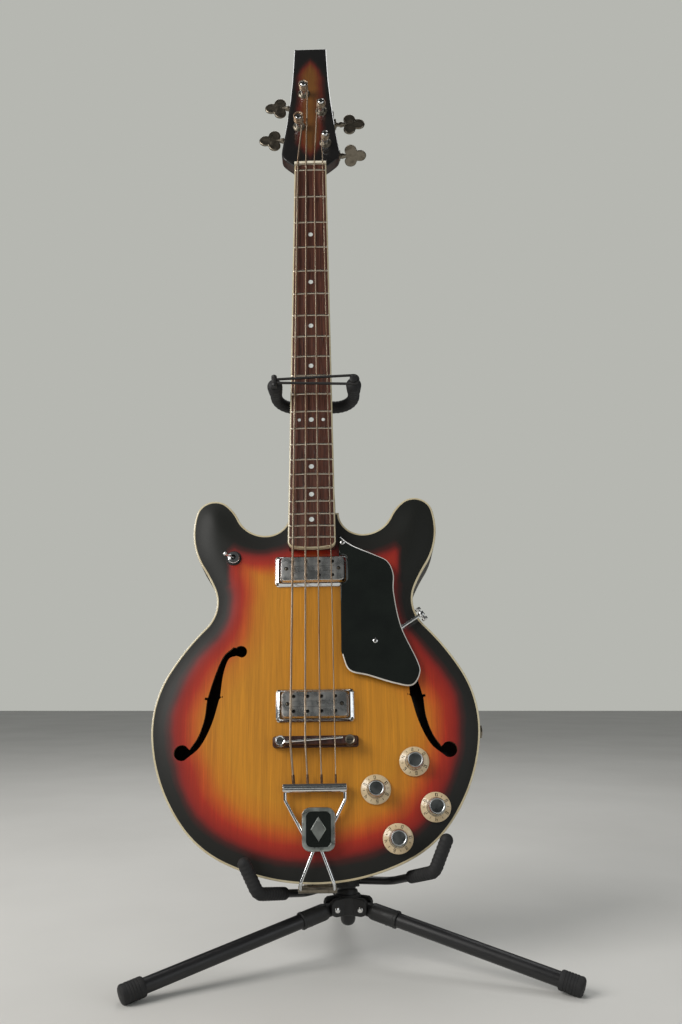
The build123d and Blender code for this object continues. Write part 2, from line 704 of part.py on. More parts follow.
def make_column():
    with BuildPart(COLUMN) as lower:
        with Locations((0, 0, COLLAR_TOP)):
            Cylinder(COLUMN_R, LOWER_TOP - COLLAR_TOP, align=UP)
            Cylinder(COLUMN_R - COLUMN_WALL, LOWER_TOP - COLLAR_TOP, align=UP, mode=Mode.SUBTRACT)
    save(lower, "lower_tube")

    with BuildPart(COLUMN) as clutch:
        with Locations((0, 0, LOWER_TOP - 16.0)):
            Cylinder(14.0, 36.0, align=UP)
            Cylinder(COLUMN_R, 16.0, align=UP, mode=Mode.SUBTRACT)
            Cylinder(INNER_TUBE_R + RUNNING, 36.0, align=UP, mode=Mode.SUBTRACT)
        fillet(clutch.faces().sort_by(Axis(COLUMN.origin, COLUMN.z_dir))[-1].edges().sort_by(SortBy.LENGTH)[-1],
               radius=3.0)
    save(clutch, "height_clutch")

    with BuildPart(COLUMN) as upper:
        with Locations((0, 0, LOWER_TOP - 110.0)):
            Cylinder(INNER_TUBE_R, COLUMN_TOP - LOWER_TOP + 110.0, align=UP)
            Cylinder(INNER_TUBE_R - 1.2, COLUMN_TOP - LOWER_TOP + 110.0, align=UP, mode=Mode.SUBTRACT)
    save(upper, "upper_tube")


def bent_rod(points, bends, radius):
    """Round rod through points of the body frame, with a fillet at each corner."""
    with BuildPart() as rod:
        with BuildLine(BODY) as path:
            FilletPolyline(*points, radius=bends)
        with BuildSketch(path.line ^ 0):
            Circle(radius)
        sweep(path=path.line)
    return rod.part


def make_cradle():
    left_points = ((28.0, -924.0, -72.0), (-14.0, -936.0, -74.0), (-60.0, -936.5, 1.0), (-74.0, -906.0, 8.0))
    right_points = ((30.0, -922.0, -72.0), (84.0, -924.0, -76.0), (126.0, -916.0, 1.0), (139.0, -884.0, 8.0))
    bends = (16.0, 10.0)
    with BuildPart() as frame:
        add(bent_rod(left_points, bends, 4.5))
        add(bent_rod(right_points, bends, 4.5))
        with Locations(COLUMN.location * Location((0, 0, COLLAR_TOP + 2.0))):
            Cylinder(14.5, 16.0, align=UP)
            Cylinder(COLUMN_R, 16.0, align=UP, mode=Mode.SUBTRACT)
    save(frame, "cradle_frame")
    with BuildPart() as pads:
        for points in (left_points, right_points):
            lower = Vector(*points[1]) * 0.55 + Vector(*points[2]) * 0.45
            add(bent_rod((tuple(lower), points[2], points[3]), bends[1:], 7.2))
            with Locations(BODY.location * Location(points[3])):
                Sphere(7.2)
        add(frame.part, mode=Mode.SUBTRACT)
    save(pads, "cradle_pads")


def make_yoke():
    level = -335.0
    left_x = -44.0
    right_x = 52.5
    bar_z = -38.0
    pin_z = 19.6
    points = ((left_x, level, 8.0), (left_x, level, bar_z), (right_x, level, bar_z), (right_x, level, 8.0))
    shift = [(x - BODY_X, y, z) for x, y, z in points]
    yoke_top = Plane(COLUMN.location * Location((0, 0, COLUMN_TOP)))
    with BuildPart() as yoke_frame:
        add(bent_rod(shift, 24.0, 4.0))
        with Locations(GUITAR.location * Location((3.6, level, bar_z - 18.0))):
            Box(14.0, 16.0, 34.0)
        with Locations(yoke_top.location):
            Cylinder(12.0, 40.0, align=DOWN)
            Cylinder(12.0, 3.0, align=UP)
            Cylinder(INNER_TUBE_R + RUNNING, 40.0, align=DOWN, mode=Mode.SUBTRACT)
        with Locations(GUITAR.location * Location((left_x, level + 5.5, 12.0)),
                       GUITAR.location * Location((left_x, level - 5.5, 12.0))):
            Box(6.6, 3.0, 10.6, align=UP)
        with Locations(GUITAR.location * Location((left_x, level, 12.0))):
            Box(6.6, 14.0, 3.4, align=UP)
        with Locations(GUITAR.location * Location((left_x, level, pin_z))):
            Cylinder(1.5, 14.0, rotation=(90, 0, 0))
        with Locations(GUITAR.location * Location((right_x, level, 14.0))):
            Cylinder(4.2, 16.0)
    with BuildPart() as yoke_pads:
        add(bent_rod(shift, 24.0, 7.4))
        with Locations(GUITAR.location * Location((left_x, level, 6.0)),
                       GUITAR.location * Location((right_x, level, 6.0))):
            Sphere(9.4)
        add(yoke_frame.part, mode=Mode.SUBTRACT)
    save(yoke_frame, "yoke_frame")
    save(yoke_pads, "yoke_pads")

    with BuildPart(GUITAR) as band:
        with BuildSketch(GUITAR.offset(pin_z - 1.4)):
            with BuildLine():
                Polyline((left_x + 2.0, level - 2.2), (right_x, level - 6.6), (right_x, level + 6.6),
                         (left_x + 2.0, level + 2.2), close=True)
            make_face()
            with Locations((right_x, level)):
                Circle(7.2)
            with BuildLine():
                Polyline((left_x + 14.0, level - 0.6), (right_x, level - 4.0), (right_x, level + 4.0),
                         (left_x + 14.0, level + 0.6), close=True)
            make_face(mode=Mode.SUBTRACT)
            with Locations((right_x, level)):
                Circle(4.7, mode=Mode.SUBTRACT)
        extrude(amount=2.8)
        with Locations((left_x, level, pin_z)):
            Cylinder(3.0, 7.6, rotation=(90, 0, 0))
            Cylinder(1.5 + RUNNING, 7.6, rotation=(90, 0, 0), mode=Mode.SUBTRACT)
    save(band, "retaining_band")


os.makedirs("parts", exist_ok=True)
make_body()
make_neck()
make_strings()
make_tuners()
make_pickups()
make_guard()
make_bridge()
make_tailpiece()
make_controls()
make_hub()
make_legs()
make_column()
make_cradle()
make_yoke()
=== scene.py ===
import json
import math
import random

import bmesh
import bpy
import numpy as np
from mathutils import Matrix, Vector
from mathutils.geometry import delaunay_2d_cdt
from mathutils.kdtree import KDTree


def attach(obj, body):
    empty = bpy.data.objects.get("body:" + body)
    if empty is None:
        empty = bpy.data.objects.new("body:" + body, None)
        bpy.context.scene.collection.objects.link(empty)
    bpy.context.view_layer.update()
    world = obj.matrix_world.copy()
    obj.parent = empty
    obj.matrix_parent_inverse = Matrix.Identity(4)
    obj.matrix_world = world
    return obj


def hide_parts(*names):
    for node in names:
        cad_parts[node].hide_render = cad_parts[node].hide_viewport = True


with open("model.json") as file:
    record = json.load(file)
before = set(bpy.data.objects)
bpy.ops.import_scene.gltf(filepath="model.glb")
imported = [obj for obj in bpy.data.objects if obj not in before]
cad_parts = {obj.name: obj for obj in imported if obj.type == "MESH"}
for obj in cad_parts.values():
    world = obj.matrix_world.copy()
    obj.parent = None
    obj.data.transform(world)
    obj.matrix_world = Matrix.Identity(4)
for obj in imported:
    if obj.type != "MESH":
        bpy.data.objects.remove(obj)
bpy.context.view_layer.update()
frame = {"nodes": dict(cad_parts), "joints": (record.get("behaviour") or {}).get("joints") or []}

# A short-scale bass guitar on a folding tripod stand. Pieces are modelled in millimetres in the frame
# of the part that they belong to, and turned into the row frame in metres as they are finished.

MM = 0.001
joints = {joint["name"]: joint for joint in frame["joints"]}
rng = random.Random(7)


# ---- frames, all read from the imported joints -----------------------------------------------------
def frame_matrix(origin, x_axis, y_axis, z_axis):
    """Millimetre frame at an origin in metres, as a matrix into the row frame."""
    turn = Matrix((x_axis, y_axis, z_axis)).transposed()
    return Matrix.Translation(origin) @ turn.to_4x4() @ Matrix.Scale(MM, 4)


POSTS = ((-15.7, 80.9), (-9.0, 137.5), (15.0, 106.7), (20.2, 52.2))
up_neck = Vector(joints["guitar_lift"]["axis"]).normalized()
out_face = Vector(joints["post_e_turn"]["axis"]).normalized()
across = up_neck.cross(out_face).normalized()
zero_fret = Vector(joints["post_e_turn"]["pos_m"]) - (across * POSTS[0][0] + up_neck * POSTS[0][1]) * MM
GUITAR = frame_matrix(zero_fret, across, up_neck, out_face)
BODY_X = 2.4
BODY = GUITAR @ Matrix.Translation((BODY_X, 0, 0))
column_up = Vector(joints["height_slide"]["axis"]).normalized()
COLUMN_TOP = 640.0
column_foot = Vector(joints["yoke_swivel"]["pos_m"]) - column_up * COLUMN_TOP * MM
column_right = up_neck.cross(out_face)
column_right = (column_right - column_up * column_right.dot(column_up)).normalized()
COLUMN = frame_matrix(column_foot, column_right, column_up.cross(column_right), column_up)

SCALE = 775.0
TOP_Z = -14.0
BODY_DEPTH = 42.0
SWITCH = (-95.6, -550.5)
HEAD_FACE_Z = -7.0
BRIDGE_Y = -773.0
STRING_RADII = (1.3, 1.05, 0.85, 0.65)


# ---- node helpers for materials ------------------------------------------------------------------
class Shader:
    """A principled material with short helpers for wiring its nodes."""

    def __init__(self, name, color=(0.5, 0.5, 0.5), roughness=0.5, metallic=0.0, coat=0.0, coat_roughness=0.05):
        self.material = bpy.data.materials.new(name)
        self.material.use_nodes = True
        self.tree = self.material.node_tree
        self.bsdf = self.tree.nodes["Principled BSDF"]
        self.set("Base Color", (*color, 1.0))
        self.set("Roughness", roughness)
        self.set("Metallic", metallic)
        self.set("Coat Weight", coat)
        self.set("Coat Roughness", coat_roughness)

    def set(self, socket, value):
        self.bsdf.inputs[socket].default_value = value

    def add(self, kind, **settings):
        node = self.tree.nodes.new(kind)
        for key, value in settings.items():
            setattr(node, key, value)
        return node

    def wire(self, source, target):
        self.tree.links.new(source, target)

    def feed(self, socket, source):
        if isinstance(source, (int, float)):
            socket.default_value = source
        elif isinstance(source, (tuple, list, Vector)):
            socket.default_value = tuple(source)
        else:
            self.wire(source, socket)

    def math(self, operation, first, second=0.0):
        node = self.add("ShaderNodeMath", operation=operation)
        self.feed(node.inputs[0], first)
        self.feed(node.inputs[1], second)
        return node.outputs[0]

    def place(self):
        return self.add("ShaderNodeTexCoord").outputs["Object"]

    def local(self, matrix):
        """Coordinates in a millimetre frame, as a vector output."""
        turn = matrix.to_3x3()
        origin = matrix.to_translation()
        shifted = self.add("ShaderNodeVectorMath", operation="SUBTRACT")
        self.feed(shifted.inputs[0], self.place())
        self.feed(shifted.inputs[1], tuple(origin))
        joined = self.add("ShaderNodeCombineXYZ")
        for index in range(3):
            axis = turn.col[index].normalized() / MM
            dot = self.add("ShaderNodeVectorMath", operation="DOT_PRODUCT")
            self.wire(shifted.outputs[0], dot.inputs[0])
            self.feed(dot.inputs[1], tuple(axis))
            self.wire(dot.outputs["Value"], joined.inputs[index])
        return joined.outputs[0]

    def stretch(self, vector, scale):
        node = self.add("ShaderNodeMapping")
        self.feed(node.inputs["Scale"], scale)
        self.wire(vector, node.inputs["Vector"])
        return node.outputs[0]

    def noise(self, vector, scale, detail=3.0, roughness=0.55, distortion=0.0):
        node = self.add("ShaderNodeTexNoise")
        self.wire(vector, node.inputs["Vector"])
        node.inputs["Scale"].default_value = scale
        node.inputs["Detail"].default_value = detail
        node.inputs["Roughness"].default_value = roughness
        node.inputs["Distortion"].default_value = distortion
        return node.outputs["Fac"]

    def ramp(self, value, stops):
        node = self.add("ShaderNodeValToRGB")
        elements = node.color_ramp.elements
        while len(elements) < len(stops):
            elements.new(0.5)
        for element, (position, color) in zip(elements, stops):
            element.position = position
            element.color = (*color, 1.0)
        self.feed(node.inputs[0], value)
        return node.outputs[0]

    def spread(self, value, low, high, out_low=0.0, out_high=1.0, smooth=False):
        node = self.add("ShaderNodeMapRange")
        if smooth:
            node.interpolation_type = "SMOOTHSTEP"
        self.feed(node.inputs["Value"], value)
        for socket, number in zip(("From Min", "From Max", "To Min", "To Max"), (low, high, out_low, out_high)):
            node.inputs[socket].default_value = number
        return node.outputs[0]

    def mix(self, factor, first, second, blend="MIX"):
        node = self.add("ShaderNodeMix", data_type="RGBA", blend_type=blend)
        self.feed(node.inputs[0], factor)
        for socket, value in ((node.inputs[6], first), (node.inputs[7], second)):
            if isinstance(value, tuple) and len(value) == 3:
                value = (*value, 1.0)
            self.feed(socket, value)
        return node.outputs[2]

    def color(self, source):
        self.wire(source, self.bsdf.inputs["Base Color"])

    def rough(self, source):
        self.wire(source, self.bsdf.inputs["Roughness"])

    def bump(self, height, distance, strength=1.0):
        node = self.add("ShaderNodeBump")
        node.inputs["Distance"].default_value = distance
        node.inputs["Strength"].default_value = strength
        self.wire(height, node.inputs["Height"])
        self.wire(node.outputs[0], self.bsdf.inputs["Normal"])

    def grey(self, value):
        """The same value on all three colour channels."""
        node = self.add("ShaderNodeCombineColor")
        for index in range(3):
            self.wire(value, node.inputs[index])
        return node.outputs[0]


def wood_lines(shader, vector, across_scale, along_scale, distortion=0.6):
    """Fine grain running along y of a millimetre frame, as a value from 0 to 1."""
    stretched = shader.stretch(vector, (across_scale, along_scale, across_scale))
    return shader.noise(stretched, 1.0, 5.0, 0.6, distortion)


BURST = [(0.0, (0.006, 0.007, 0.005)), (0.16, (0.008, 0.007, 0.005)), (0.225, (0.06, 0.006, 0.004)),
         (0.30, (0.26, 0.008, 0.003)), (0.42, (0.42, 0.022, 0.003)), (0.54, (0.55, 0.09, 0.004)),
         (0.68, (0.58, 0.19, 0.005)), (0.9, (0.60, 0.24, 0.008))]


HEAD_BURST = [(0.0, (0.17, 0.062, 0.007)), (0.22, (0.15, 0.040, 0.006)), (0.42, (0.12, 0.013, 0.004)),
              (0.60, (0.04, 0.005, 0.003)), (0.78, (0.006, 0.004, 0.003)), (1.0, (0.004, 0.003, 0.003))]


def burst_material():
    """Sunburst lacquer: the colour follows the distance from the edge, stored on the mesh."""
    shader = Shader("sunburst_lacquer", roughness=0.42, coat=1.0, coat_roughness=0.045)
    vector = shader.local(BODY)
    edge = shader.add("ShaderNodeAttribute", attribute_name="edge").outputs["Fac"]
    cloud = shader.noise(vector, 0.012, 3.0)
    wander = shader.spread(cloud, 0.3, 0.7, -0.035, 0.035)
    reach = shader.math("ADD", edge, wander)
    color = shader.ramp(reach, BURST)
    fine = wood_lines(shader, vector, 1.1, 0.02)
    broad = wood_lines(shader, vector, 0.16, 0.004)
    dark = shader.spread(fine, 0.35, 0.65, 0.80, 1.06)
    wide = shader.spread(broad, 0.35, 0.65, 0.84, 1.06)
    both = shader.math("MULTIPLY", dark, wide)
    shade = shader.grey(both)
    inside = shader.spread(reach, 0.2, 0.5, 0.0, 0.85, smooth=True)
    shader.color(shader.mix(inside, color, shader.mix(1.0, color, shade, "MULTIPLY")))
    shader.bump(shader.noise(vector, 0.03, 2.0), 0.0006, 0.12)
    return shader.material


def head_material():
    """Sunburst on the headstock: an amber strip up the middle between near-black edges."""
    shader = Shader("head_burst", roughness=0.4, coat=1.0, coat_roughness=0.05)
    vector = shader.local(GUITAR)
    split = shader.add("ShaderNodeSeparateXYZ")
    shader.wire(vector, split.inputs[0])
    aside = shader.math("ABSOLUTE", split.outputs[0])
    up = shader.math("ABSOLUTE", shader.math("SUBTRACT", split.outputs[1], 112.0))
    ends = shader.spread(up, 52.0, 104.0, 0.0, 26.0, smooth=True)
    reach = shader.math("ADD", aside, ends)
    wander = shader.spread(shader.noise(vector, 0.03, 3.0), 0.3, 0.7, -2.5, 2.5)
    reach = shader.spread(shader.math("ADD", reach, wander), 4.0, 27.0)
    color = shader.ramp(reach, HEAD_BURST)
    grain = shader.spread(wood_lines(shader, vector, 0.9, 0.02), 0.35, 0.65, 0.75, 1.08)
    shade = shader.grey(grain)
    shader.color(shader.mix(1.0, color, shade, "MULTIPLY"))
    shader.bump(shader.noise(vector, 0.04, 2.0), 0.0005, 0.12)
    return shader.material


def lacquer_material(name, dark, light, roughness=0.35, frame_used=BODY):
    """Glossy stained wood with a faint grain."""
    shader = Shader(name, dark, roughness, coat=1.0, coat_roughness=0.06)
    vector = shader.local(frame_used)
    grain = wood_lines(shader, vector, 0.8, 0.02)
    shader.color(shader.mix(shader.spread(grain, 0.35, 0.7), dark, light))
    shader.bump(shader.noise(vector, 0.05, 2.0), 0.0004, 0.12)
    return shader.material


def rosewood_material(name, dark=(0.035, 0.011, 0.007), light=(0.135, 0.042, 0.022)):
    """Oiled rosewood: long dark streaks, short open pores."""
    shader = Shader(name, roughness=0.42)
    vector = shader.local(GUITAR)
    streak = wood_lines(shader, vector, 0.45, 0.012, 1.2)
    pores = wood_lines(shader, vector, 3.2, 0.12, 0.2)
    color = shader.mix(shader.spread(streak, 0.36, 0.66), dark, light)
    pore = shader.spread(pores, 0.60, 0.68)
    shader.color(shader.mix(pore, color, (0.018, 0.006, 0.004)))
    shader.rough(shader.spread(streak, 0.3, 0.7, 0.34, 0.52))
    shader.bump(shader.math("SUBTRACT", 1.0, pore), 0.0002, 0.5)
    return shader.material


def plastic_material(name, base, second, roughness=0.25, coat=0.4, scale=60.0):
    """Moulded or celluloid plastic with a slight cloudiness."""
    shader = Shader(name, base, roughness, coat=coat)
    place = shader.place()
    cloud = shader.noise(place, scale, 3.0)
    shader.color(shader.mix(shader.spread(cloud, 0.35, 0.7), base, second))
    shader.rough(shader.spread(shader.noise(place, scale * 6, 2.0), 0.3, 0.7, roughness * 0.8, roughness * 1.25))
    shader.bump(shader.noise(place, scale * 20, 2.0), 0.00005, 0.3)
    return shader.material


def metal_material(name, base, stain, roughness, stain_amount=0.5, scale=90.0, brushed=None):
    """Plated metal with soft staining, tiny pits and an optional brushing direction."""
    shader = Shader(name, base, roughness, metallic=1.0)
    place = shader.place()
    cloud = shader.noise(place, scale, 6.0, 0.62, 0.4)
    pits = shader.noise(place, scale * 14, 3.0, 0.6)
    worn = shader.spread(cloud, 0.50, 0.72, 0.0, stain_amount, smooth=True)
    spots = shader.spread(pits, 0.66, 0.74, 0.0, stain_amount)
    color = shader.mix(worn, base, stain)
    shader.color(shader.mix(spots, color, tuple(0.45 * part for part in stain)))
    shader.rough(shader.spread(cloud, 0.35, 0.75, roughness * 0.7, min(1.0, roughness * 1.8)))
    height = pits
    if brushed is not None:
        height = shader.noise(shader.stretch(place, brushed), 400.0, 2.0)
    shader.bump(height, 0.00005, 0.35)
    return shader.material


def rubber_material(name, base=(0.012, 0.012, 0.013)):
    """Matt rubber with a fine grain and dusty highs."""
    shader = Shader(name, base, 0.72)
    place = shader.place()
    dust = shader.noise(place, 55.0, 5.0, 0.65)
    shader.color(shader.mix(shader.spread(dust, 0.5, 0.8, 0.0, 0.35), base, (0.06, 0.058, 0.055)))
    shader.rough(shader.spread(dust, 0.3, 0.7, 0.6, 0.85))
    shader.bump(shader.noise(place, 1400.0, 3.0), 0.0001, 0.4)
    return shader.material


def powder_material(name, base=(0.011, 0.011, 0.012), roughness=0.38):
    """Satin black powder coat: orange peel and faint scuffs."""
    shader = Shader(name, base, roughness)
    place = shader.place()
    scuff = shader.noise(place, 38.0, 6.0, 0.7, 0.8)
    shader.color(shader.mix(shader.spread(scuff, 0.62, 0.78, 0.0, 0.5), base, (0.05, 0.05, 0.05)))
    shader.rough(shader.spread(scuff, 0.3, 0.75, roughness * 0.85, roughness * 1.35))
    shader.bump(shader.noise(place, 900.0, 2.0), 0.0001, 0.3)
    return shader.material


def string_material(name, base, dark, pitch):
    """Wound string: painted shade as thin dark lines between the turns of the wrap."""
    shader = Shader(name, base, 0.35, metallic=1.0)
    vector = shader.local(GUITAR)
    split = shader.add("ShaderNodeSeparateXYZ")
    shader.wire(vector, split.inputs[0])
    turns = shader.math("SINE", shader.math("MULTIPLY", split.outputs[1], 2 * math.pi / pitch))
    patina = shader.noise(shader.stretch(vector, (0.05, 0.03, 0.05)), 1.0, 5.0)
    color = shader.mix(shader.spread(patina, 0.35, 0.75), base, (0.34, 0.20, 0.11))
    # painted shade: the colour is pulled towards the dark colour in the grooves between the turns
    shader.color(shader.mix(shader.spread(turns, -1.0, -0.2, 0.55, 0.0), color, dark))
    shader.bump(turns, 0.00008, 0.6)
    return shader.material


def make_materials():
    m = {}
    m["burst"] = burst_material()
    m["back"] = lacquer_material("back_lacquer", (0.010, 0.005, 0.004), (0.030, 0.010, 0.006))
    m["neck"] = lacquer_material("neck_lacquer", (0.018, 0.006, 0.004), (0.05, 0.016, 0.008), 0.4, GUITAR)
    m["inner"] = lacquer_material("bare_maple", (0.16, 0.095, 0.045), (0.24, 0.15, 0.08), 0.7)
    m["cream"] = plastic_material("cream_binding", (0.60, 0.53, 0.36), (0.50, 0.41, 0.25), 0.3, 0.5)
    m["bone"] = plastic_material("nut_bone", (0.80, 0.75, 0.62), (0.68, 0.60, 0.45), 0.3, 0.3, 120.0)
    m["pearl"] = plastic_material("pearl_dot", (0.83, 0.84, 0.80), (0.64, 0.70, 0.70), 0.16, 0.8, 500.0)
    m["rosewood"] = rosewood_material("rosewood_board")
    m["bridge_wood"] = rosewood_material("rosewood_bridge", (0.020, 0.007, 0.005), (0.075, 0.022, 0.014))
    m["fret"] = metal_material("fret_wire", (0.78, 0.70, 0.58), (0.45, 0.30, 0.16), 0.26, 0.4)
    m["chrome"] = metal_material("chrome_plate", (0.80, 0.82, 0.83), (0.42, 0.38, 0.32), 0.13, 0.35, 120.0)
    m["cover"] = metal_material("satin_cover", (0.78, 0.79, 0.78), (0.50, 0.46, 0.40), 0.26, 0.4, 70.0)
    m["nickel"] = metal_material("aged_nickel", (0.24, 0.21, 0.165), (0.10, 0.08, 0.055), 0.34, 0.6, 130.0)
    m["bright"] = metal_material("bright_screw", (0.85, 0.85, 0.84), (0.45, 0.42, 0.36), 0.2, 0.3, 200.0)
    # painted shade: near-black fill for screw slots, post slots, pickup holes and engraved lines; it also colours
    # the ring under the toggle nut
    m["hole"] = plastic_material("recess_shade_paint", (0.006, 0.006, 0.006), (0.012, 0.011, 0.010), 0.6, 0.0)
    m["guard"] = plastic_material("guard_black", (0.006, 0.008, 0.007), (0.009, 0.012, 0.010), 0.14, 0.9, 40.0)
    m["white"] = plastic_material("guard_white", (0.80, 0.78, 0.74), (0.70, 0.66, 0.60), 0.3, 0.4)
    m["dial"] = plastic_material("dial_cream", (0.66, 0.52, 0.33), (0.56, 0.42, 0.24), 0.34, 0.5, 90.0)
    m["ink"] = plastic_material("dial_ink", (0.012, 0.009, 0.007), (0.02, 0.015, 0.011), 0.45, 0.1)
    m["cap"] = metal_material("knob_metal", (0.56, 0.58, 0.58), (0.30, 0.28, 0.24), 0.3, 0.35, 90.0)
    m["rubber"] = rubber_material("black_rubber")
    m["band"] = rubber_material("band_rubber", (0.018, 0.017, 0.017))
    m["powder"] = powder_material("powder_coat")
    m["moulded"] = powder_material("moulded_black", (0.014, 0.014, 0.014), 0.5)
    m["plate"] = metal_material("plate_enamel", (0.62, 0.66, 0.62), (0.40, 0.42, 0.38), 0.32, 0.35, 60.0)
    m["edge_wood"] = lacquer_material("cut_edge_wood", (0.10, 0.05, 0.022), (0.20, 0.11, 0.05), 0.6)
    m["head"] = head_material()
    m["cap_inlay"] = metal_material("brushed_inlay", (0.20, 0.215, 0.215), (0.10, 0.095, 0.085), 0.34, 0.3,
                                    90.0, (1, 30, 1))
    m["silk"] = string_material("string_silk", (0.05, 0.035, 0.03), (0.02, 0.015, 0.012), 1.4)
    wound = (0.52, 0.44, 0.34)
    for name, pitch in (("e", 0.95), ("a", 0.85), ("d", 0.7), ("g", 0.6)):
        m[f"string_{name}"] = string_material(f"wound_string_{name}", wound, (0.08, 0.05, 0.03), pitch)
    return m


# ---- mesh helpers -----------------------------------------------------------------------------------
def piece(name, bm, matrix, material, body, nodes, angle=38.0, bevel=0.0):
    """Turn a bmesh in a millimetre frame into a finished object that rides on a body."""
    mesh = bpy.data.meshes.new(name)
    bmesh.ops.recalc_face_normals(bm, faces=bm.faces)
    bm.to_mesh(mesh)
    bm.free()
    thing = bpy.data.objects.new(name, mesh)
    bpy.context.scene.collection.objects.link(thing)
    materials = material if isinstance(material, (list, tuple)) else [material]
    for entry in materials:
        mesh.materials.append(entry)
    if bevel:
        modifier = thing.modifiers.new("bevel", "BEVEL")
        modifier.width = bevel
        modifier.segments = 2
        modifier.limit_method = "ANGLE"
        modifier.angle_limit = math.radians(35)
        modifier.use_clamp_overlap = True
        depsgraph = bpy.context.evaluated_depsgraph_get()
        done = bpy.data.meshes.new_from_object(thing.evaluated_get(depsgraph))
        thing.modifiers.clear()
        thing.data = done
        bpy.data.meshes.remove(mesh)
        done.name = name
        mesh = done
    mesh.transform(matrix)
    if matrix.to_3x3().determinant() < 0:
        mesh.flip_normals()
    for polygon in mesh.polygons:
        polygon.use_smooth = True
    mesh.set_sharp_from_angle(angle=math.radians(angle))
    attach(thing, body)
    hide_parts(*nodes)


def turned(axis, degrees):
    return Matrix.Rotation(math.radians(degrees), 4, axis)


def ring(bm, points):
    return [bm.verts.new(point) for point in points]


def bridge(bm, first, second, closed=True, material=0):
    count = len(first)
    for index in range(count if closed else count - 1):
        after = (index + 1) % count
        face = bm.faces.new((first[index], first[after], second[after], second[index]))
        face.material_index = material


def lathe(bm, profile, at=(0, 0, 0), segments=48, matrix=None, material=0):
    """Revolve (radius, height) pairs about z. A radius of 0 closes an end with a point."""
    base = Matrix.Translation(at) if matrix is None else matrix
    rows = []
    for radius, height in profile:
        if radius < 1e-6:
            rows.append([bm.verts.new(base @ Vector((0, 0, height)))])
            continue
        turn = [2 * math.pi * k / segments for k in range(segments)]
        rows.append(ring(bm, [base @ Vector((radius * math.cos(a), radius * math.sin(a), height)) for a in turn]))
    for first, second in zip(rows, rows[1:]):
        if len(first) == 1 and len(second) == 1:
            continue
        if len(first) == 1:
            for k in range(segments):
                bm.faces.new((first[0], second[k], second[(k + 1) % segments])).material_index = material
        elif len(second) == 1:
            for k in range(segments):
                bm.faces.new((first[(k + 1) % segments], first[k], second[0])).material_index = material
        else:
            bridge(bm, first, second, True, material)


def extrude_outline(bm, outline, low, high, inset_top=0.0, material=0):
    """Closed prism over an outline, with an optional chamfer at the top."""
    bottom = ring(bm, [(x, y, low) for x, y in outline])
    rows = [bottom]
    if inset_top:
        rows.append(ring(bm, [(x, y, high - inset_top) for x, y in outline]))
        inner = inset_outline(outline, inset_top)
    else:
        inner = outline
    rows.append(ring(bm, [(x, y, high) for x, y in inner]))
    for first, second in zip(rows, rows[1:]):
        bridge(bm, first, second, True, material)
    bm.faces.new(list(reversed(bottom))).material_index = material
    bm.faces.new(rows[-1]).material_index = material


def inset_outline(outline, distance):
    """Outline moved inwards by a distance, by the normals at its points."""
    points = np.array(outline, float)
    before = np.roll(points, 1, axis=0)
    after = np.roll(points, -1, axis=0)
    tangent = after - before
    tangent /= np.maximum(np.linalg.norm(tangent, axis=1), 1e-9)[:, None]
    area = np.sum(points[:, 0] * after[:, 1] - after[:, 0] * points[:, 1])
    normal = np.stack([-tangent[:, 1], tangent[:, 0]], axis=1) * (1 if area > 0 else -1)
    return [tuple(point) for point in points + normal * distance]


def rounded_rect(width, height, radius, steps=6, centre=(0, 0)):
    points = []
    for corner, start in (((1, 1), 0), ((-1, 1), 90), ((-1, -1), 180), ((1, -1), 270)):
        cx = centre[0] + corner[0] * (width / 2 - radius)
        cy = centre[1] + corner[1] * (height / 2 - radius)
        for k in range(steps + 1):
            a = math.radians(start + 90 * k / steps)
            points.append((cx + radius * math.cos(a), cy + radius * math.sin(a)))
    return points


def box(bm, size, centre, material=0):
    made = bmesh.ops.create_cube(bm, size=1.0, matrix=Matrix.Translation(centre) @ Matrix.Diagonal((*size, 1.0)))
    for vertex in made["verts"]:
        for face in vertex.link_faces:
            face.material_index = material


def arc_points(path, radius, steps=8):
    """Polyline with each inner corner rounded to a radius."""
    points = [Vector(path[0])]
    for before, corner, after in zip(path, path[1:], path[2:]):
        before, corner, after = Vector(before), Vector(corner), Vector(after)
        arrive = (corner - before).normalized()
        leave = (after - corner).normalized()
        turn = arrive.angle(leave)
        cut = radius * math.tan(turn / 2)
        first = corner - arrive * cut
        centre_direction = (leave - arrive).normalized()
        centre = corner + centre_direction * (radius / math.cos(turn / 2))
        spoke = first - centre
        axis = arrive.cross(leave).normalized()
        for k in range(steps + 1):
            points.append(centre + Matrix.Rotation(turn * k / steps, 3, axis) @ spoke)
    points.append(Vector(path[-1]))
    return points


def tube(bm, points, radii, segments=20, material=0):
    """Round tube along points, with one radius for all of them or one for each."""
    points = [Vector(p) for p in points]
    if isinstance(radii, (int, float)):
        radii = [radii] * len(points)
    tangents = []
    for index in range(len(points)):
        before = points[max(0, index - 1)]
        after = points[min(len(points) - 1, index + 1)]
        tangents.append((after - before).normalized())
    side = tangents[0].orthogonal().normalized()
    rows = []
    for index, (point, tangent, radius) in enumerate(zip(points, tangents, radii)):
        if index:
            side = tangents[index - 1].rotation_difference(tangent) @ side
        up = tangent.cross(side).normalized()
        turn = [2 * math.pi * k / segments for k in range(segments)]
        rows.append(ring(bm, [point + (side * math.cos(a) + up * math.sin(a)) * radius for a in turn]))
    for first, second in zip(rows, rows[1:]):
        bridge(bm, first, second, True, material)
    bm.faces.new(list(reversed(rows[0]))).material_index = material
    bm.faces.new(rows[-1]).material_index = material


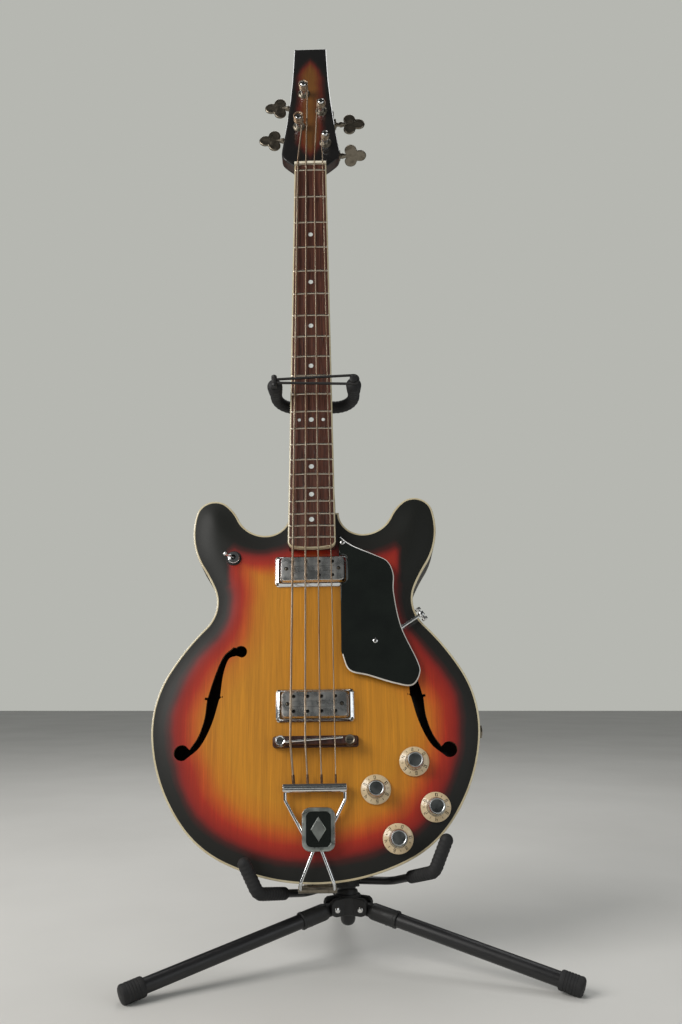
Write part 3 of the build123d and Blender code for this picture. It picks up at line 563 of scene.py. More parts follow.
def round_ends(bm, points, radius):
    """Tube with hemispherical ends."""
    steps = 6
    points = [Vector(p) for p in points]
    start = (points[0] - points[1]).normalized()
    end = (points[-1] - points[-2]).normalized()
    angles = [math.pi / 2 * k / steps for k in range(steps, 0, -1)]
    first = [points[0] + start * radius * math.sin(a) for a in angles]
    last = [points[-1] + end * radius * math.sin(a) for a in reversed(angles)]
    lead = [max(radius * math.cos(a), radius * 0.02) for a in angles]
    radii = lead + [radius] * len(points) + list(reversed(lead))
    tube(bm, first + points + last, radii)


def catmull(points, steps=8):
    """Smooth curve through points."""
    pts = [Vector(p) for p in points]
    pts = [pts[0] * 2 - pts[1]] + pts + [pts[-1] * 2 - pts[-2]]
    made = []
    for p0, p1, p2, p3 in zip(pts, pts[1:], pts[2:], pts[3:]):
        for k in range(steps):
            t = k / steps
            made.append(0.5 * ((2 * p1) + (p2 - p0) * t + (2 * p0 - 5 * p1 + 4 * p2 - p3) * t * t
                               + (3 * p1 - p0 - 3 * p2 + p3) * t ** 3))
    made.append(pts[-2])
    return made


def densify(outline, step):
    """Closed outline with its long sides divided."""
    made = []
    for (x1, y1), (x2, y2) in zip(outline, outline[1:] + outline[:1]):
        steps = max(1, int(math.dist((x1, y1), (x2, y2)) / step))
        made += [(x1 + (x2 - x1) * k / steps, y1 + (y2 - y1) * k / steps) for k in range(steps)]
    return made


def closed_edges(start, count):
    return [(start + k, start + (k + 1) % count) for k in range(count)]


def point_tree(points):
    tree = KDTree(len(points))
    for index, point in enumerate(points):
        tree.insert((*point, 0), index)
    tree.balance()
    return tree


def skin(bm, rows, caps=False):
    """Faces between rows of vertices, with flat ends if they are asked for."""
    for first, second in zip(rows, rows[1:]):
        bridge(bm, first, second)
    if caps:
        bm.faces.new(rows[0])
        bm.faces.new(rows[-1])


def inset_rows(bm, outline, levels):
    """One ring for each (inset, height) pair of an outline."""
    return [ring(bm, [(x, y, z) for x, y in (inset_outline(outline, inset) if inset else outline)])
            for inset, z in levels]


def rect_rows(bm, levels, centre, base, steps):
    """One rounded rectangle for each (width, height, corner radius, level)."""
    return [ring(bm, [(x, y, base + z) for x, y in rounded_rect(width, height, radius, steps, centre)])
            for width, height, radius, z in levels]


def slab(bm, outline, low, high, place):
    """Closed plate between two levels of a placed frame."""
    skin(bm, [ring(bm, [place @ Vector((x, y, z)) for x, y in outline]) for z in (low, high)], True)


def knurled(bm, profile, ribbed, depth, segments, period, width, at=(0, 0)):
    """Rings of a turned profile, grooved at the indices in ribbed."""
    rows = []
    for index, (radius, z) in enumerate(profile):
        row = []
        for k in range(segments):
            a = 2 * math.pi * k / segments
            reach = radius - (depth if index in ribbed and k % period < width else 0.0)
            row.append((at[0] + reach * math.cos(a), at[1] + reach * math.sin(a), z))
        rows.append(ring(bm, row))
    return rows


# ---- guitar body ------------------------------------------------------------------------------------
def arc_chain(knots, heading, step=2.0):
    """Points along arcs that leave each knot in the direction in which the last one arrived."""
    points = [Vector(knots[0])]
    heading = Vector(heading)
    for start, end in zip(knots, knots[1:]):
        start, end = Vector(start), Vector(end)
        chord = end - start
        turn = 2 * math.atan2(heading.x * chord.y - heading.y * chord.x, heading.dot(chord))
        if abs(turn) < 1e-4:
            points.append(end)
            continue
        radius = chord.length / (2 * math.sin(turn / 2))
        centre = start + Vector((-heading.y, heading.x)) * radius
        steps = max(2, int(abs(turn * radius) / step))
        for k in range(1, steps + 1):
            points.append(centre + Matrix.Rotation(turn * k / steps, 2) @ (start - centre))
        heading = Matrix.Rotation(turn, 2) @ heading
    return points


def body_outline():
    knots = [(0.0, -927.2), (101.2, -903.8), (147.8, -864.9), (184.9, -765.9), (167.6, -689.3), (127.3, -636.0),
             (118.5, -587.9), (132.2, -561.5), (142.2, -491.3), (105.9, -479.9), (91.3, -499.0), (59.4, -520.6),
             (29.5, -492.5)]
    half = arc_chain(knots, (1.0, 0.0))
    right = [(p.x, p.y) for p in half]
    left = [(-x, y) for x, y in reversed(right[1:])]
    return right + [(10.0, -492.5), (-10.0, -492.5)] + left


def spline_2d(points, steps=6):
    return [(p.x, p.y) for p in catmull([(x, y, 0) for x, y in points], steps)]


def circle_2d(centre, radius, start, end, steps):
    """Arc points from a start to an end angle in degrees."""
    made = []
    for k in range(steps + 1):
        a = math.radians(start + (end - start) * k / steps)
        made.append((centre[0] + radius * math.cos(a), centre[1] + radius * math.sin(a)))
    return made


def f_hole_outline(mirror=1):
    """Closed outline of one sound hole: two round eyes, a bellied stem and a nick on each side."""
    upper = circle_2d((-85.1, -666.2), 7.2, 200, -80, 18)
    lower = circle_2d((-149.2, -783.0), 9.0, 15, -300, 22)
    outer = spline_2d([(-93.5, -660.6), (-105.2, -671.9), (-114.5, -695.0), (-121.8, -720.0)], 5)
    outer_low = spline_2d([(-122.6, -723.0), (-125.0, -745.0), (-131.5, -765.0), (-140.8, -779.5)], 5)
    inner_low = spline_2d([(-144.5, -790.2), (-128.7, -776.1), (-116.5, -751.0), (-108.6, -722.0)], 5)
    inner = spline_2d([(-107.6, -718.5), (-104.8, -693.0), (-99.0, -675.0), (-90.2, -671.0)], 5)
    nick_out = [(-124.8, -719.6), (-125.4, -722.4)]
    nick_in = [(-105.0, -720.6), (-104.6, -717.6)]
    eye_top = [p for p in upper if not (p[0] < -88.0 and p[1] < -662.0)]
    eye_low = [p for p in lower if not (p[0] > -145.5 and -790.0 < p[1] < -778.0)]
    outline = list(reversed(outer_low)) + list(reversed(nick_out)) + list(reversed(outer))
    outline += eye_top + list(reversed(inner)) + nick_in + list(reversed(inner_low)) + eye_low
    kept = [outline[0]]
    for point in outline[1:]:
        if math.dist(point, kept[-1]) > 0.5:
            kept.append(point)
    return [(mirror * x, y) for x, y in kept]


def inside(point, outline):
    x, y = point
    odd = False
    for (x1, y1), (x2, y2) in zip(outline, outline[1:] + outline[:1]):
        if (y1 > y) != (y2 > y) and x < (x2 - x1) * (y - y1) / (y2 - y1) + x1:
            odd = not odd
    return odd


def fill_flat(points, edges, outline, holes=()):
    """Triangles over a flat outline, less those whose middle lies in a hole."""
    flat, _, faces, _, _, _ = delaunay_2d_cdt([Vector(p) for p in points], edges, [], 0, 1e-5)
    boxes = [(min(p[0] for p in hole), max(p[0] for p in hole), min(p[1] for p in hole), max(p[1] for p in hole))
             for hole in holes]
    kept = []
    for face in faces:
        x = sum(flat[k].x for k in face) / len(face)
        y = sum(flat[k].y for k in face) / len(face)
        cut = any(low_x < x < high_x and low_y < y < high_y and inside((x, y), hole)
                  for hole, (low_x, high_x, low_y, high_y) in zip(holes, boxes))
        if not cut and inside((x, y), outline):
            kept.append(face)
    return flat, kept


def fill_ring(bm, verts):
    """Fill a flat ring of vertices that may be hollow in places."""
    outline = [(v.co.x, v.co.y) for v in verts]
    flat, faces = fill_flat(outline, closed_edges(0, len(verts)), outline)
    level = verts[0].co.z
    made = [bm.verts.new((point.x, point.y, level)) for point in flat]
    for face in faces:
        bm.faces.new([made[k] for k in face])
    bmesh.ops.remove_doubles(bm, verts=made + list(verts), dist=0.001)


def top_level(edge):
    """Height of the carved top at a distance from the edge: a shallow dish that rises inwards."""
    share = min(1.0, edge / 30.0)
    return TOP_Z - 2.6 * (1 - share * share * (3 - 2 * share))


def make_top(m):
    """Front plate: a fine mesh with its distance from the edge kept on it for the sunburst."""
    outline = body_outline()
    holes = [f_hole_outline(1), f_hole_outline(-1)]
    holes.append([(SWITCH[0] + 4.6 * math.cos(a), SWITCH[1] + 4.6 * math.sin(a))
                  for a in np.linspace(0, 2 * math.pi, 17)[:-1]])
    rim = inset_outline(outline, 2.0)
    fixed = []
    edges = []
    for loop in [rim] + holes:
        edges += closed_edges(len(fixed), len(loop))
        fixed += loop
    tree = point_tree(fixed)
    grid = []
    for row, y in enumerate(np.arange(-925, -480, 4.4)):
        for x in np.arange(-190 + (row % 2) * 2.5, 190, 5.0):
            if inside((x, y), rim) and tree.find((x, y, 0))[2] > 2.2:
                grid.append((float(x), float(y)))
    flat, faces = fill_flat(fixed + grid, edges, rim, holes)
    edge_tree = point_tree(outline)
    away = [edge_tree.find((p.x, p.y, 0))[2] for p in flat]
    bm = bmesh.new()
    layer = bm.verts.layers.float.new("edge")
    verts = []
    for point, distance in zip(flat, away):
        vertex = bm.verts.new((point.x, point.y, top_level(distance)))
        vertex[layer] = burst_reach(point.x, point.y, distance)
        verts.append(vertex)
    for face in faces:
        bm.faces.new([verts[k] for k in face])
    bmesh.ops.recalc_face_normals(bm, faces=bm.faces)
    if sum(face.normal.z for face in bm.faces) < 0:
        bmesh.ops.reverse_faces(bm, faces=bm.faces)
    border = [edge for edge in bm.edges if edge.is_boundary]
    lower = bmesh.ops.extrude_edge_only(bm, edges=border)["geom"]
    for vertex in [item for item in lower if isinstance(item, bmesh.types.BMVert)]:
        vertex.co.z = TOP_Z - 4.0
    for face in [item for item in lower if isinstance(item, bmesh.types.BMFace)]:
        face.material_index = 1
    under = bmesh.ops.duplicate(bm, geom=[face for face in bm.faces if face.material_index == 0])["geom"]
    for vertex in [item for item in under if isinstance(item, bmesh.types.BMVert)]:
        vertex.co.z = TOP_Z - 4.0
    for face in [item for item in under if isinstance(item, bmesh.types.BMFace)]:
        face.normal_flip()
        face.material_index = 1
    bmesh.ops.remove_doubles(bm, verts=bm.verts, dist=0.01)
    piece("top_plate", bm, BODY, [m["burst"], m["edge_wood"]], "guitar", ["body_top"], 30)


def burst_reach(x, y, distance):
    """Share of the way from the black edge to the amber middle, with the horns kept dark."""
    width = 92.0 - 22.0 * max(0.0, 1 - abs(y + 615.0) / 90.0)
    if y > -570.0:
        width += (y + 570.0) * 0.85
    if y < -880.0:
        width += (-880.0 - y) * 0.35
    horn = max(0.0, abs(x) - 96.0) / 60.0 if y > -585.0 else 0.0
    blend = min(1.0, max(0.0, (y + 600.0) / 40.0))
    return max(0.0, distance / width - horn * blend * 0.9)


def sweep_loop(bm, outline, section):
    """Sweep a closed section of (inset, height) pairs round a closed outline."""
    rows = inset_rows(bm, outline, section)
    skin(bm, rows + rows[:1])


def make_shell(m):
    """Bound edges, lacquered sides and back plate."""
    outline = body_outline()
    bm = bmesh.new()
    top = TOP_Z - 2.6
    sweep_loop(bm, outline, [(0.0, top - 3.4), (0.0, top - 0.9), (0.25, top - 0.3), (0.9, top + 0.05),
                             (2.3, top + 0.05), (2.3, top - 3.4)])
    back = TOP_Z - BODY_DEPTH
    sweep_loop(bm, outline, [(0.0, back + 5.0), (2.3, back + 5.0), (2.3, back), (1.0, back), (0.3, back + 0.3),
                             (0.0, back + 1.0)])
    piece("body_edge_binding", bm, BODY, m["cream"], "guitar", ["body_binding"], 30)
    bm = bmesh.new()
    sweep_loop(bm, outline, [(0.02, back + 4.9), (0.02, top - 3.3), (5.0, top - 3.3), (5.0, back + 4.9)])
    piece("side_strips", bm, BODY, m["back"], "guitar", ["body_rim"], 30)
    bm = bmesh.new()
    lip = inset_outline(outline, 2.2)
    inner = inset_outline(outline, 3.2)
    low = ring(bm, [(x, y, back + 4.0) for x, y in lip])
    mid = ring(bm, [(x, y, back + 0.3) for x, y in lip])
    flat = ring(bm, [(x, y, back - 0.1) for x, y in inner])
    bridge(bm, low, mid)
    bridge(bm, mid, flat)
    fill_ring(bm, low)
    fill_ring(bm, flat)
    piece("back_plate", bm, BODY, m["back"], "guitar", ["body_back"], 30)


# ---- neck and head ------------------------------------------------------------------------------------
def board_half(y):
    share = (8.5 - y) / (8.5 + 544.0)
    return (42.4 + (56.6 - 42.4) * share) / 2


def fret_y(number):
    return -SCALE * (1 - 2 ** (-number / 12))


def string_x(string, y):
    at_nut = (string - 1.5) * 11.1
    at_bridge = 0.5 + (string - 1.5) * 16.36
    return at_nut + (at_bridge - at_nut) * (-y / SCALE)


BOARD_RADIUS = 305.0


def board_level(x):
    """Height of the crowned fretboard at a distance from its middle."""
    return math.sqrt(BOARD_RADIUS ** 2 - x * x) - BOARD_RADIUS


def head_half_outline():
    side = [(22.2, 218.0), (23.4, 190.0), (24.9, 160.0), (27.5, 130.0), (31.3, 96.0), (35.5, 64.0), (38.6, 44.0),
            (39.2, 37.0)]
    shoulder = [(39.0, 33.0), (37.8, 29.0), (35.3, 25.6), (31.5, 22.0), (27.0, 18.0), (23.0, 14.8), (21.2, 13.5)]
    return side + shoulder


def make_head(m):
    """Headstock with bevelled edges, its burst face, and the neck behind the board."""
    half = head_half_outline()
    outline = [(x, y) for x, y in half] + [(-x, y) for x, y in reversed(half)]
    dense = densify(outline, 3.0)
    rim = inset_outline(dense, 1.6)
    grid = []
    tree = point_tree(rim)
    for y in np.arange(16, 217, 3.2):
        for x in np.arange(-39, 39, 3.0):
            if inside((x, y), rim) and tree.find((x, y, 0))[2] > 1.8:
                grid.append((float(x), float(y)))
    edges = closed_edges(0, len(rim))
    flat, _, faces, _, _, _ = delaunay_2d_cdt([Vector(p) for p in rim + grid], edges, [], 1, 1e-4)
    bm = bmesh.new()
    verts = [bm.verts.new((p.x, p.y, HEAD_FACE_Z)) for p in flat]
    for face in faces:
        bm.faces.new([verts[k] for k in face])
    edge_profile = ((1.6, 0.0), (0.5, 0.5), (0.0, 1.7), (0.0, 13.2), (0.6, 14.4), (2.0, 15.0))
    rows = inset_rows(bm, dense, [(inset, HEAD_FACE_Z - down) for inset, down in edge_profile])
    skin(bm, rows)
    for face in bm.faces:
        middle = face.calc_center_median()
        if middle.z < HEAD_FACE_Z - 1.75:
            face.material_index = 1
    back = bm.faces.new(rows[-1])
    back.material_index = 1
    bmesh.ops.triangulate(bm, faces=[back])
    bmesh.ops.remove_doubles(bm, verts=bm.verts, dist=0.01)
    neck_shaft(bm)
    piece("neck_and_head", bm, GUITAR, [m["head"], m["neck"]], "guitar", ["neck"], 32)


def neck_shaft(bm):
    """Rounded shaft that swells into the headstock at one end and the heel at the other."""
    rows = []
    stations = [(36.0, 33.0, 8.5, 10.5), (28.0, 29.0, 9.0, 11.5), (20.0, 24.0, 10.0, 14.5),
                (13.5, 21.1, 6.5, 16.0),
                (4.0, 21.1, 6.2, 16.6), (-120.0, 22.6, 6.2, 18.4), (-240.0, 24.1, 6.2, 20.0),
                (-380.0, 25.8, 6.2, 21.6), (-440.0, 26.6, 6.2, 22.6), (-462.0, 27.0, 6.2, 25.5),
                (-474.0, 27.4, 6.2, 33.0), (-482.0, 27.8, 6.2, 43.0),
                (-487.0, 28.0, 6.2, 47.2), (-492.4, 28.0, 6.2, 48.0)]
    for y, half, top, depth in stations:
        row = []
        heel = min(1.0, max(0.0, (-455.0 - y) / 30.0))
        power = 1.0 - 0.45 * heel
        for k in range(25):
            a = math.pi * k / 24
            c, s = math.cos(a), math.sin(a)
            x = half * math.copysign(abs(c) ** power, c)
            row.append(bm.verts.new((x, y, -top - depth * abs(s) ** power)))
        rows.append(row)
    for first, second in zip(rows, rows[1:]):
        for k in range(24):
            bm.faces.new((first[k], first[k + 1], second[k + 1], second[k])).material_index = 1
        bm.faces.new((first[0], second[0], second[24], first[24])).material_index = 1
    for row in (rows[0], rows[-1]):
        bm.faces.new(row).material_index = 1
    box(bm, (54.6, 50.0, 7.8), (0, -517.0, -10.1), 1)


def make_board(m):
    """Crowned rosewood board with bound edges, pearl dots and crowned frets."""
    bm = bmesh.new()
    columns = 13
    levels = list(np.linspace(8.5, -537.0, 60)) + [-540.0, -542.0, -543.4]
    tuck = {-540.0: 1.4, -542.0: 3.4, -543.4: 7.0}
    bottom_z = -6.0
    upper = []
    for y in levels:
        half = board_half(y) - 1.6 - tuck.get(round(float(y), 1), 0.0)
        row = [bm.verts.new((half * (2 * k / (columns - 1) - 1), y, board_level(half * (2 * k / (columns - 1) - 1))))
               for k in range(columns)]
        upper.append(row)
    lower = [[bm.verts.new((v.co.x, v.co.y, bottom_z)) for v in (row[0], row[-1])] for row in upper]
    for index in range(len(levels) - 1):
        for k in range(columns - 1):
            bm.faces.new((upper[index][k], upper[index + 1][k], upper[index + 1][k + 1], upper[index][k + 1]))
        bm.faces.new((upper[index][0], lower[index][0], lower[index + 1][0], upper[index + 1][0]))
        bm.faces.new((upper[index][-1], upper[index + 1][-1], lower[index + 1][1], lower[index][1]))
        bm.faces.new((lower[index][0], lower[index][1], lower[index + 1][1], lower[index + 1][0]))
    for index in (0, -1):
        bm.faces.new(upper[index] + [lower[index][1], lower[index][0]])
    piece("board", bm, GUITAR, m["rosewood"], "guitar", ["fretboard"], 30)

    bm = bmesh.new()
    left, right = [], []
    for y in levels:
        half = board_half(y) - tuck.get(round(float(y), 1), 0.0)
        left.append((-half, float(y)))
        right.append((half, float(y)))
    path = left + [(-12.0, -544.6), (12.0, -544.6)] + list(reversed(right))
    rows = []
    inner_path = open_inset(path, 1.7)
    for (x, y), (xi, yi) in zip(path, inner_path):
        z = board_level(abs(x))
        section = [(x, y, bottom_z), (x, y, z - 0.55), (x + (xi - x) * 0.25, y + (yi - y) * 0.25, z - 0.12),
                   (x + (xi - x) * 0.6, y + (yi - y) * 0.6, z + 0.06), (xi, yi, board_level(abs(xi)) + 0.06),
                   (xi, yi, bottom_z)]
        rows.append(ring(bm, section))
    skin(bm, rows, True)
    piece("board_edge_binding", bm, GUITAR, m["cream"], "guitar", ["fretboard_binding"], 30)

    bm = bmesh.new()
    dots = [(0, (fret_y(n) + fret_y(n - 1)) / 2, 3.0) for n in (3, 5, 7, 9, 12, 15, 17, 19)]
    dots += [(x, (fret_y(12) + fret_y(11)) / 2, 2.1) for x in (-14.5, 14.5)]
    for x, y, radius in dots:
        z = board_level(x)
        lathe(bm, [(radius, z - 1.2), (radius, z + 0.03), (radius * 0.96, z + 0.07), (0, z + 0.09)], (x, y, 0), 28)
    piece("pearl_dots", bm, GUITAR, m["pearl"], "guitar", ["fret_markers"], 40)

    bm = bmesh.new()
    for number in range(21):
        y = fret_y(number)
        half = board_half(y) - 0.7
        rows = []
        spans = [-1.0, -0.985, -0.96, -0.9] + list(np.linspace(-0.75, 0.75, 7)) + [0.9, 0.96, 0.985, 1.0]
        for share in spans:
            x = half * share
            fall = 1.0 if abs(share) < 0.97 else (0.75 if abs(share) < 0.99 else 0.3)
            z = board_level(x)
            row = []
            for k in range(7):
                a = math.pi * k / 6
                row.append((x, y + 1.2 * math.cos(a) * (0.7 + 0.3 * fall), z + 1.05 * math.sin(a) * fall))
            row.append((x, y, z - 0.4))
            rows.append(ring(bm, row))
        skin(bm, rows, True)
    piece("fret_wires", bm, GUITAR, m["fret"], "guitar", ["frets"], 40)


def open_inset(path, distance):
    """Inset of an open path towards its left-hand side, ends kept level."""
    points = np.array(path, float)
    tangent = np.gradient(points, axis=0)
    tangent /= np.linalg.norm(tangent, axis=1)[:, None]
    normal = np.stack([-tangent[:, 1], tangent[:, 0]], axis=1)
    moved = points + normal * distance
    moved[0, 1] = points[0, 1]
    moved[-1, 1] = points[-1, 1]
    return [tuple(point) for point in moved]


def make_nut(m):
    """Bone nut: a slotted, rounded bar behind the zero fret."""
    bm = bmesh.new()
    slots = [string_x(s, 11.0) for s in range(4)]
    xs = set([-21.2, -20.4, 20.4, 21.2])
    for x, radius in zip(slots, STRING_RADII):
        for offset in (-1.35, -1.0, -0.7, 0.0, 0.7, 1.0, 1.35):
            xs.add(x + offset * radius)
    xs |= set(float(v) for v in np.linspace(-18, 18, 9))
    rows = []
    for x in sorted(xs):
        top = 3.0 - 0.02 * abs(x) if abs(x) < 21 else 2.2
        for centre, radius in zip(slots, STRING_RADII):
            away = abs(x - centre) / radius
            if away < 1.02:
                top = min(top, 1.35 + radius - radius * math.sqrt(max(0.0, 1 - away * away)))
        rows.append(ring(bm, [(x, 8.7, -6.0), (x, 8.7, top - 0.3), (x, 9.3, top), (x, 11.8, top - 0.15),
                              (x, 13.1, top - 1.2), (x, 13.5, top - 2.6), (x, 13.5, -7.0)]))
    skin(bm, rows, True)
    piece("slotted_nut", bm, GUITAR, m["bone"], "guitar", ["nut"], 35)


# ---- strings and tuners ----------------------------------------------------------------------------------
def make_strings(m):
    """Wound strings from the post wraps over the nut and the saddle rod to the tail bar."""
    for string, radius in enumerate(STRING_RADII):
        bm = bmesh.new()
        post_x, post_y = POSTS[string]
        turn = 1 if string < 2 else -1
        wrap = 4.3 + radius
        coil = []
        turns = 3
        nut_x = string_x(string, 11.0)
        leave = 0.0 if turn > 0 else math.pi
        for k in range(turns * 20 + 1):
            a = leave + turn * 2 * math.pi * (k / 20 - turns)
            z = 1.0 + radius + (turns - k / 20) * 2 * radius * 0.98
            coil.append(Vector((post_x + wrap * math.cos(a), post_y + wrap * math.sin(a), z)))
        saddle_x = string_x(string, BRIDGE_Y)
        line = [Vector((nut_x, 13.2, 1.4 + radius)), Vector((nut_x, 11.5, 1.5 + radius)),
                Vector((nut_x, 9.0, 1.4 + radius))]
        for share in np.linspace(0.02, 0.98, 40):
            y = 8.0 + (BRIDGE_Y - 8.0) * share
            line.append(Vector((string_x(string, y), y, 1.4 + radius + (3.5 - 1.4) * share)))
        line += [Vector((saddle_x, BRIDGE_Y + 1.6, 3.45 + radius)), Vector((saddle_x, BRIDGE_Y, 3.5 + radius)),
                 Vector((saddle_x, BRIDGE_Y - 1.6, 3.3 + radius))]
        tail_x = 2.1 + (string - 1.5) * 15.4
        tail = [Vector((saddle_x + (tail_x - saddle_x) * s, BRIDGE_Y - 2 + (-819.0 - BRIDGE_Y + 2) * s,
                        3.2 + radius + (-6.0 - 3.2 - radius) * s)) for s in (0.3, 0.6, 0.8)]
        tube(bm, coil + line + tail, radius, 12)
        wrap_start = tail[-1]
        end = Vector((tail_x, -819.9, -6.0))
        mid = wrap_start.lerp(end, 0.1)
        tube(bm, [wrap_start, mid, end], [radius, radius + 0.55, radius + 0.55], 12, 1)
        name = "eadg"[string]
        piece(f"wound_string_{name}", bm, GUITAR, [m[f"string_{name}"], m["silk"]], "guitar", ["strings"],
              60)


def make_tuners(m):
    """Posts, bushings and washers, open gears behind the head, and clover-shaped keys."""
    bm = bmesh.new()
    worn = bmesh.new()
    for index, (x, y) in enumerate(POSTS):
        lathe(bm, [(4.3, -7.4), (8.3, -7.4), (8.4, -6.9), (8.1, -6.3), (7.0, -5.9), (6.4, -5.4), (5.9, -5.2),
                   (4.35, -5.2), (4.3, -20.0)], (x, y, 0), 36)
        side = -1 if index < 2 else 1
        plate = rounded_rect(30.0, 40.0, 6.0, 5, (x + side * 2.0, y))
        extrude_outline(worn, plate, -22.0, -23.6)
        for sy in (-15.5, 15.5):
            lathe(worn, [(2.7, -23.5), (2.6, -24.3), (1.7, -24.9), (0, -25.1)], (x + side * 2.0, y + sy, 0), 18)
        gear = []
        for tooth in range(20):
            for step, radius in ((0, 9.4), (0.35, 9.4), (0.5, 10.6), (0.85, 10.6)):
                a = 2 * math.pi * (tooth + step) / 20
                gear.append((x + radius * math.cos(a), y + radius * math.sin(a)))
        lathe(worn, [(3.2, -23.7), (10.4, -23.7), (10.4, -24.4), (0, -24.5)], (x, y, 0), 40)
        lathe(worn, [(3.3, -28.6), (3.0, -30.2), (2.2, -30.8), (0, -31.0)], (x, y, 0), 20)
        extrude_outline(worn, gear, -25.2, -28.8)
        for reach in (9.0, 18.5):
            px = x + side * reach
            outline = rounded_rect(3.0, 11.0, 1.2, 4, (px, y))
            extrude_outline(worn, outline, -23.6, -31.5)
    piece("post_bushings", bm, GUITAR, m["nickel"], "guitar", ["tuner_machines"], 35)
    piece("gear_plates", worn, GUITAR, m["nickel"], "guitar", ["tuner_machines"], 32, bevel=0.25)
    for index, name in enumerate("eadg"):
        x, y = POSTS[index]
        bm = bmesh.new()
        lathe(bm, [(0, -24.9), (4.25, -24.9), (4.25, 0.0), (5.4, 0.2), (5.5, 0.9), (4.9, 1.2), (4.35, 1.6),
                   (4.2, 6.8), (4.35, 7.2), (4.3, 7.9), (3.8, 8.7), (3.2, 9.0), (2.7, 8.9), (2.5, 8.2), (0, 8.1)],
              (x, y, 0), 40)
        # painted shade: the string slot across the post top is a near-black box, not a cut
        box(bm, (9.2, 1.1, 2.4), (x, y, 8.3), 1)
        piece(f"post_{name}_machined", bm, GUITAR, [m["bright"], m["hole"]], f"post_{name}",
              [f"tuner_post_{name}"], 35)
        make_key(m, index, name)


KEY_REACH = (-55.0, -47.5, 57.5, 58.5)


def make_key(m, index, name):
    """One clover key: three soft lobes with a raised ridge, on a turned shaft with its worm."""
    side = -1 if index < 2 else 1
    reach = KEY_REACH[index]
    y = POSTS[index][1]
    turn = turned("X", 90) if index == 3 else Matrix.Identity(4)
    key_frame = GUITAR @ Matrix.Translation((reach, y, -28.0)) @ Matrix.Diagonal((side, 1, 1, 1)) @ turn
    bm = bmesh.new()
    outline = []
    for k in range(96):
        a = 2 * math.pi * k / 96
        best = 0.0
        for cx, cy, radius in ((9.5, 0.0, 8.2), (-4.0, 8.6, 8.4), (-4.0, -8.6, 8.4), (1.0, 0.0, 9.0)):
            b = cx * math.cos(a) + cy * math.sin(a)
            disc = b * b - (cx * cx + cy * cy) + radius * radius
            if disc > 0:
                best = max(best, b + math.sqrt(disc))
        neck = 17.5 if abs(math.sin(a)) * 17.5 < 2.6 and math.cos(a) < 0 else 0.0
        outline.append((max(best, neck) * math.cos(a), max(best, neck) * math.sin(a)))
    for _ in range(2):
        outline = [((a[0] + 2 * b[0] + c[0]) / 4, (a[1] + 2 * b[1] + c[1]) / 4)
                   for a, b, c in zip(outline[-1:] + outline[:-1], outline, outline[1:] + outline[:1])]
    for up in (1, -1):
        rows = []
        for share, z in ((1.0, 0.0), (0.985, 0.8), (0.93, 1.35), (0.84, 1.5), (0.74, 1.25), (0.5, 1.5),
                         (0.25, 1.9)):
            rows.append(ring(bm, [(px * share, py * share, up * z) for px, py in outline]))
        skin(bm, rows)
        middle = bm.verts.new((0, 0, up * 2.05))
        for k in range(len(outline)):
            bm.faces.new((rows[-1][k], rows[-1][(k + 1) % len(outline)], middle))
    bmesh.ops.remove_doubles(bm, verts=bm.verts, dist=0.005)
    inner_end = -(abs(reach - POSTS[index][0]) - 9.5)
    shaft = turned("Y", 90)
    profile = [(0, -6.0), (1.6, -6.0), (2.2, -10.0), (2.9, -13.0), (3.4, -15.0), (3.4, -17.0), (2.4, -18.4),
               (2.4, inner_end + 11.5), (3.6, inner_end + 11.2), (3.6, inner_end + 8.6), (2.3, inner_end + 8.2)]
    z = inner_end + 7.6
    while z > inner_end - 5.0:
        profile += [(3.2, z), (3.2, z - 0.55), (2.3, z - 0.9), (2.3, z - 1.2)]
        z -= 1.5
    profile += [(2.0, inner_end - 5.5), (0, inner_end - 5.5)]
    lathe(bm, profile, (0, 0, 0), 24, shaft)
    piece(f"clover_key_{name}", bm, key_frame, m["nickel"], f"key_{name}", [f"tuner_key_{name}"], 50)


# ---- pickups, guard, bridge and tailpiece ------------------------------------------------------------
LINE_LEVELS = (-3.1, 3.1)
PICKUPS = ((0.6, -569.0), (2.4, -731.0))
SURROUND_LEVELS = ((88.6, 38.5, 4.5, 0.0), (88.6, 38.5, 4.5, 0.9), (87.9, 37.8, 4.2, 1.5), (82.0, 33.6, 3.4, 3.6),
                   (80.6, 32.8, 3.0, 3.9), (78.4, 32.2, 2.8, 3.7), (77.6, 31.8, 2.6, 2.6), (77.6, 31.8, 2.6, 0.1))
COVER_LEVELS = ((75.6, 30.8, 4.8, 0.5), (75.6, 30.8, 4.8, 4.9), (75.0, 30.2, 4.6, 5.5),
                (73.4, 28.8, 4.4, 9.4), (72.6, 28.0, 4.1, 9.9), (71.6, 27.0, 3.8, 10.0))


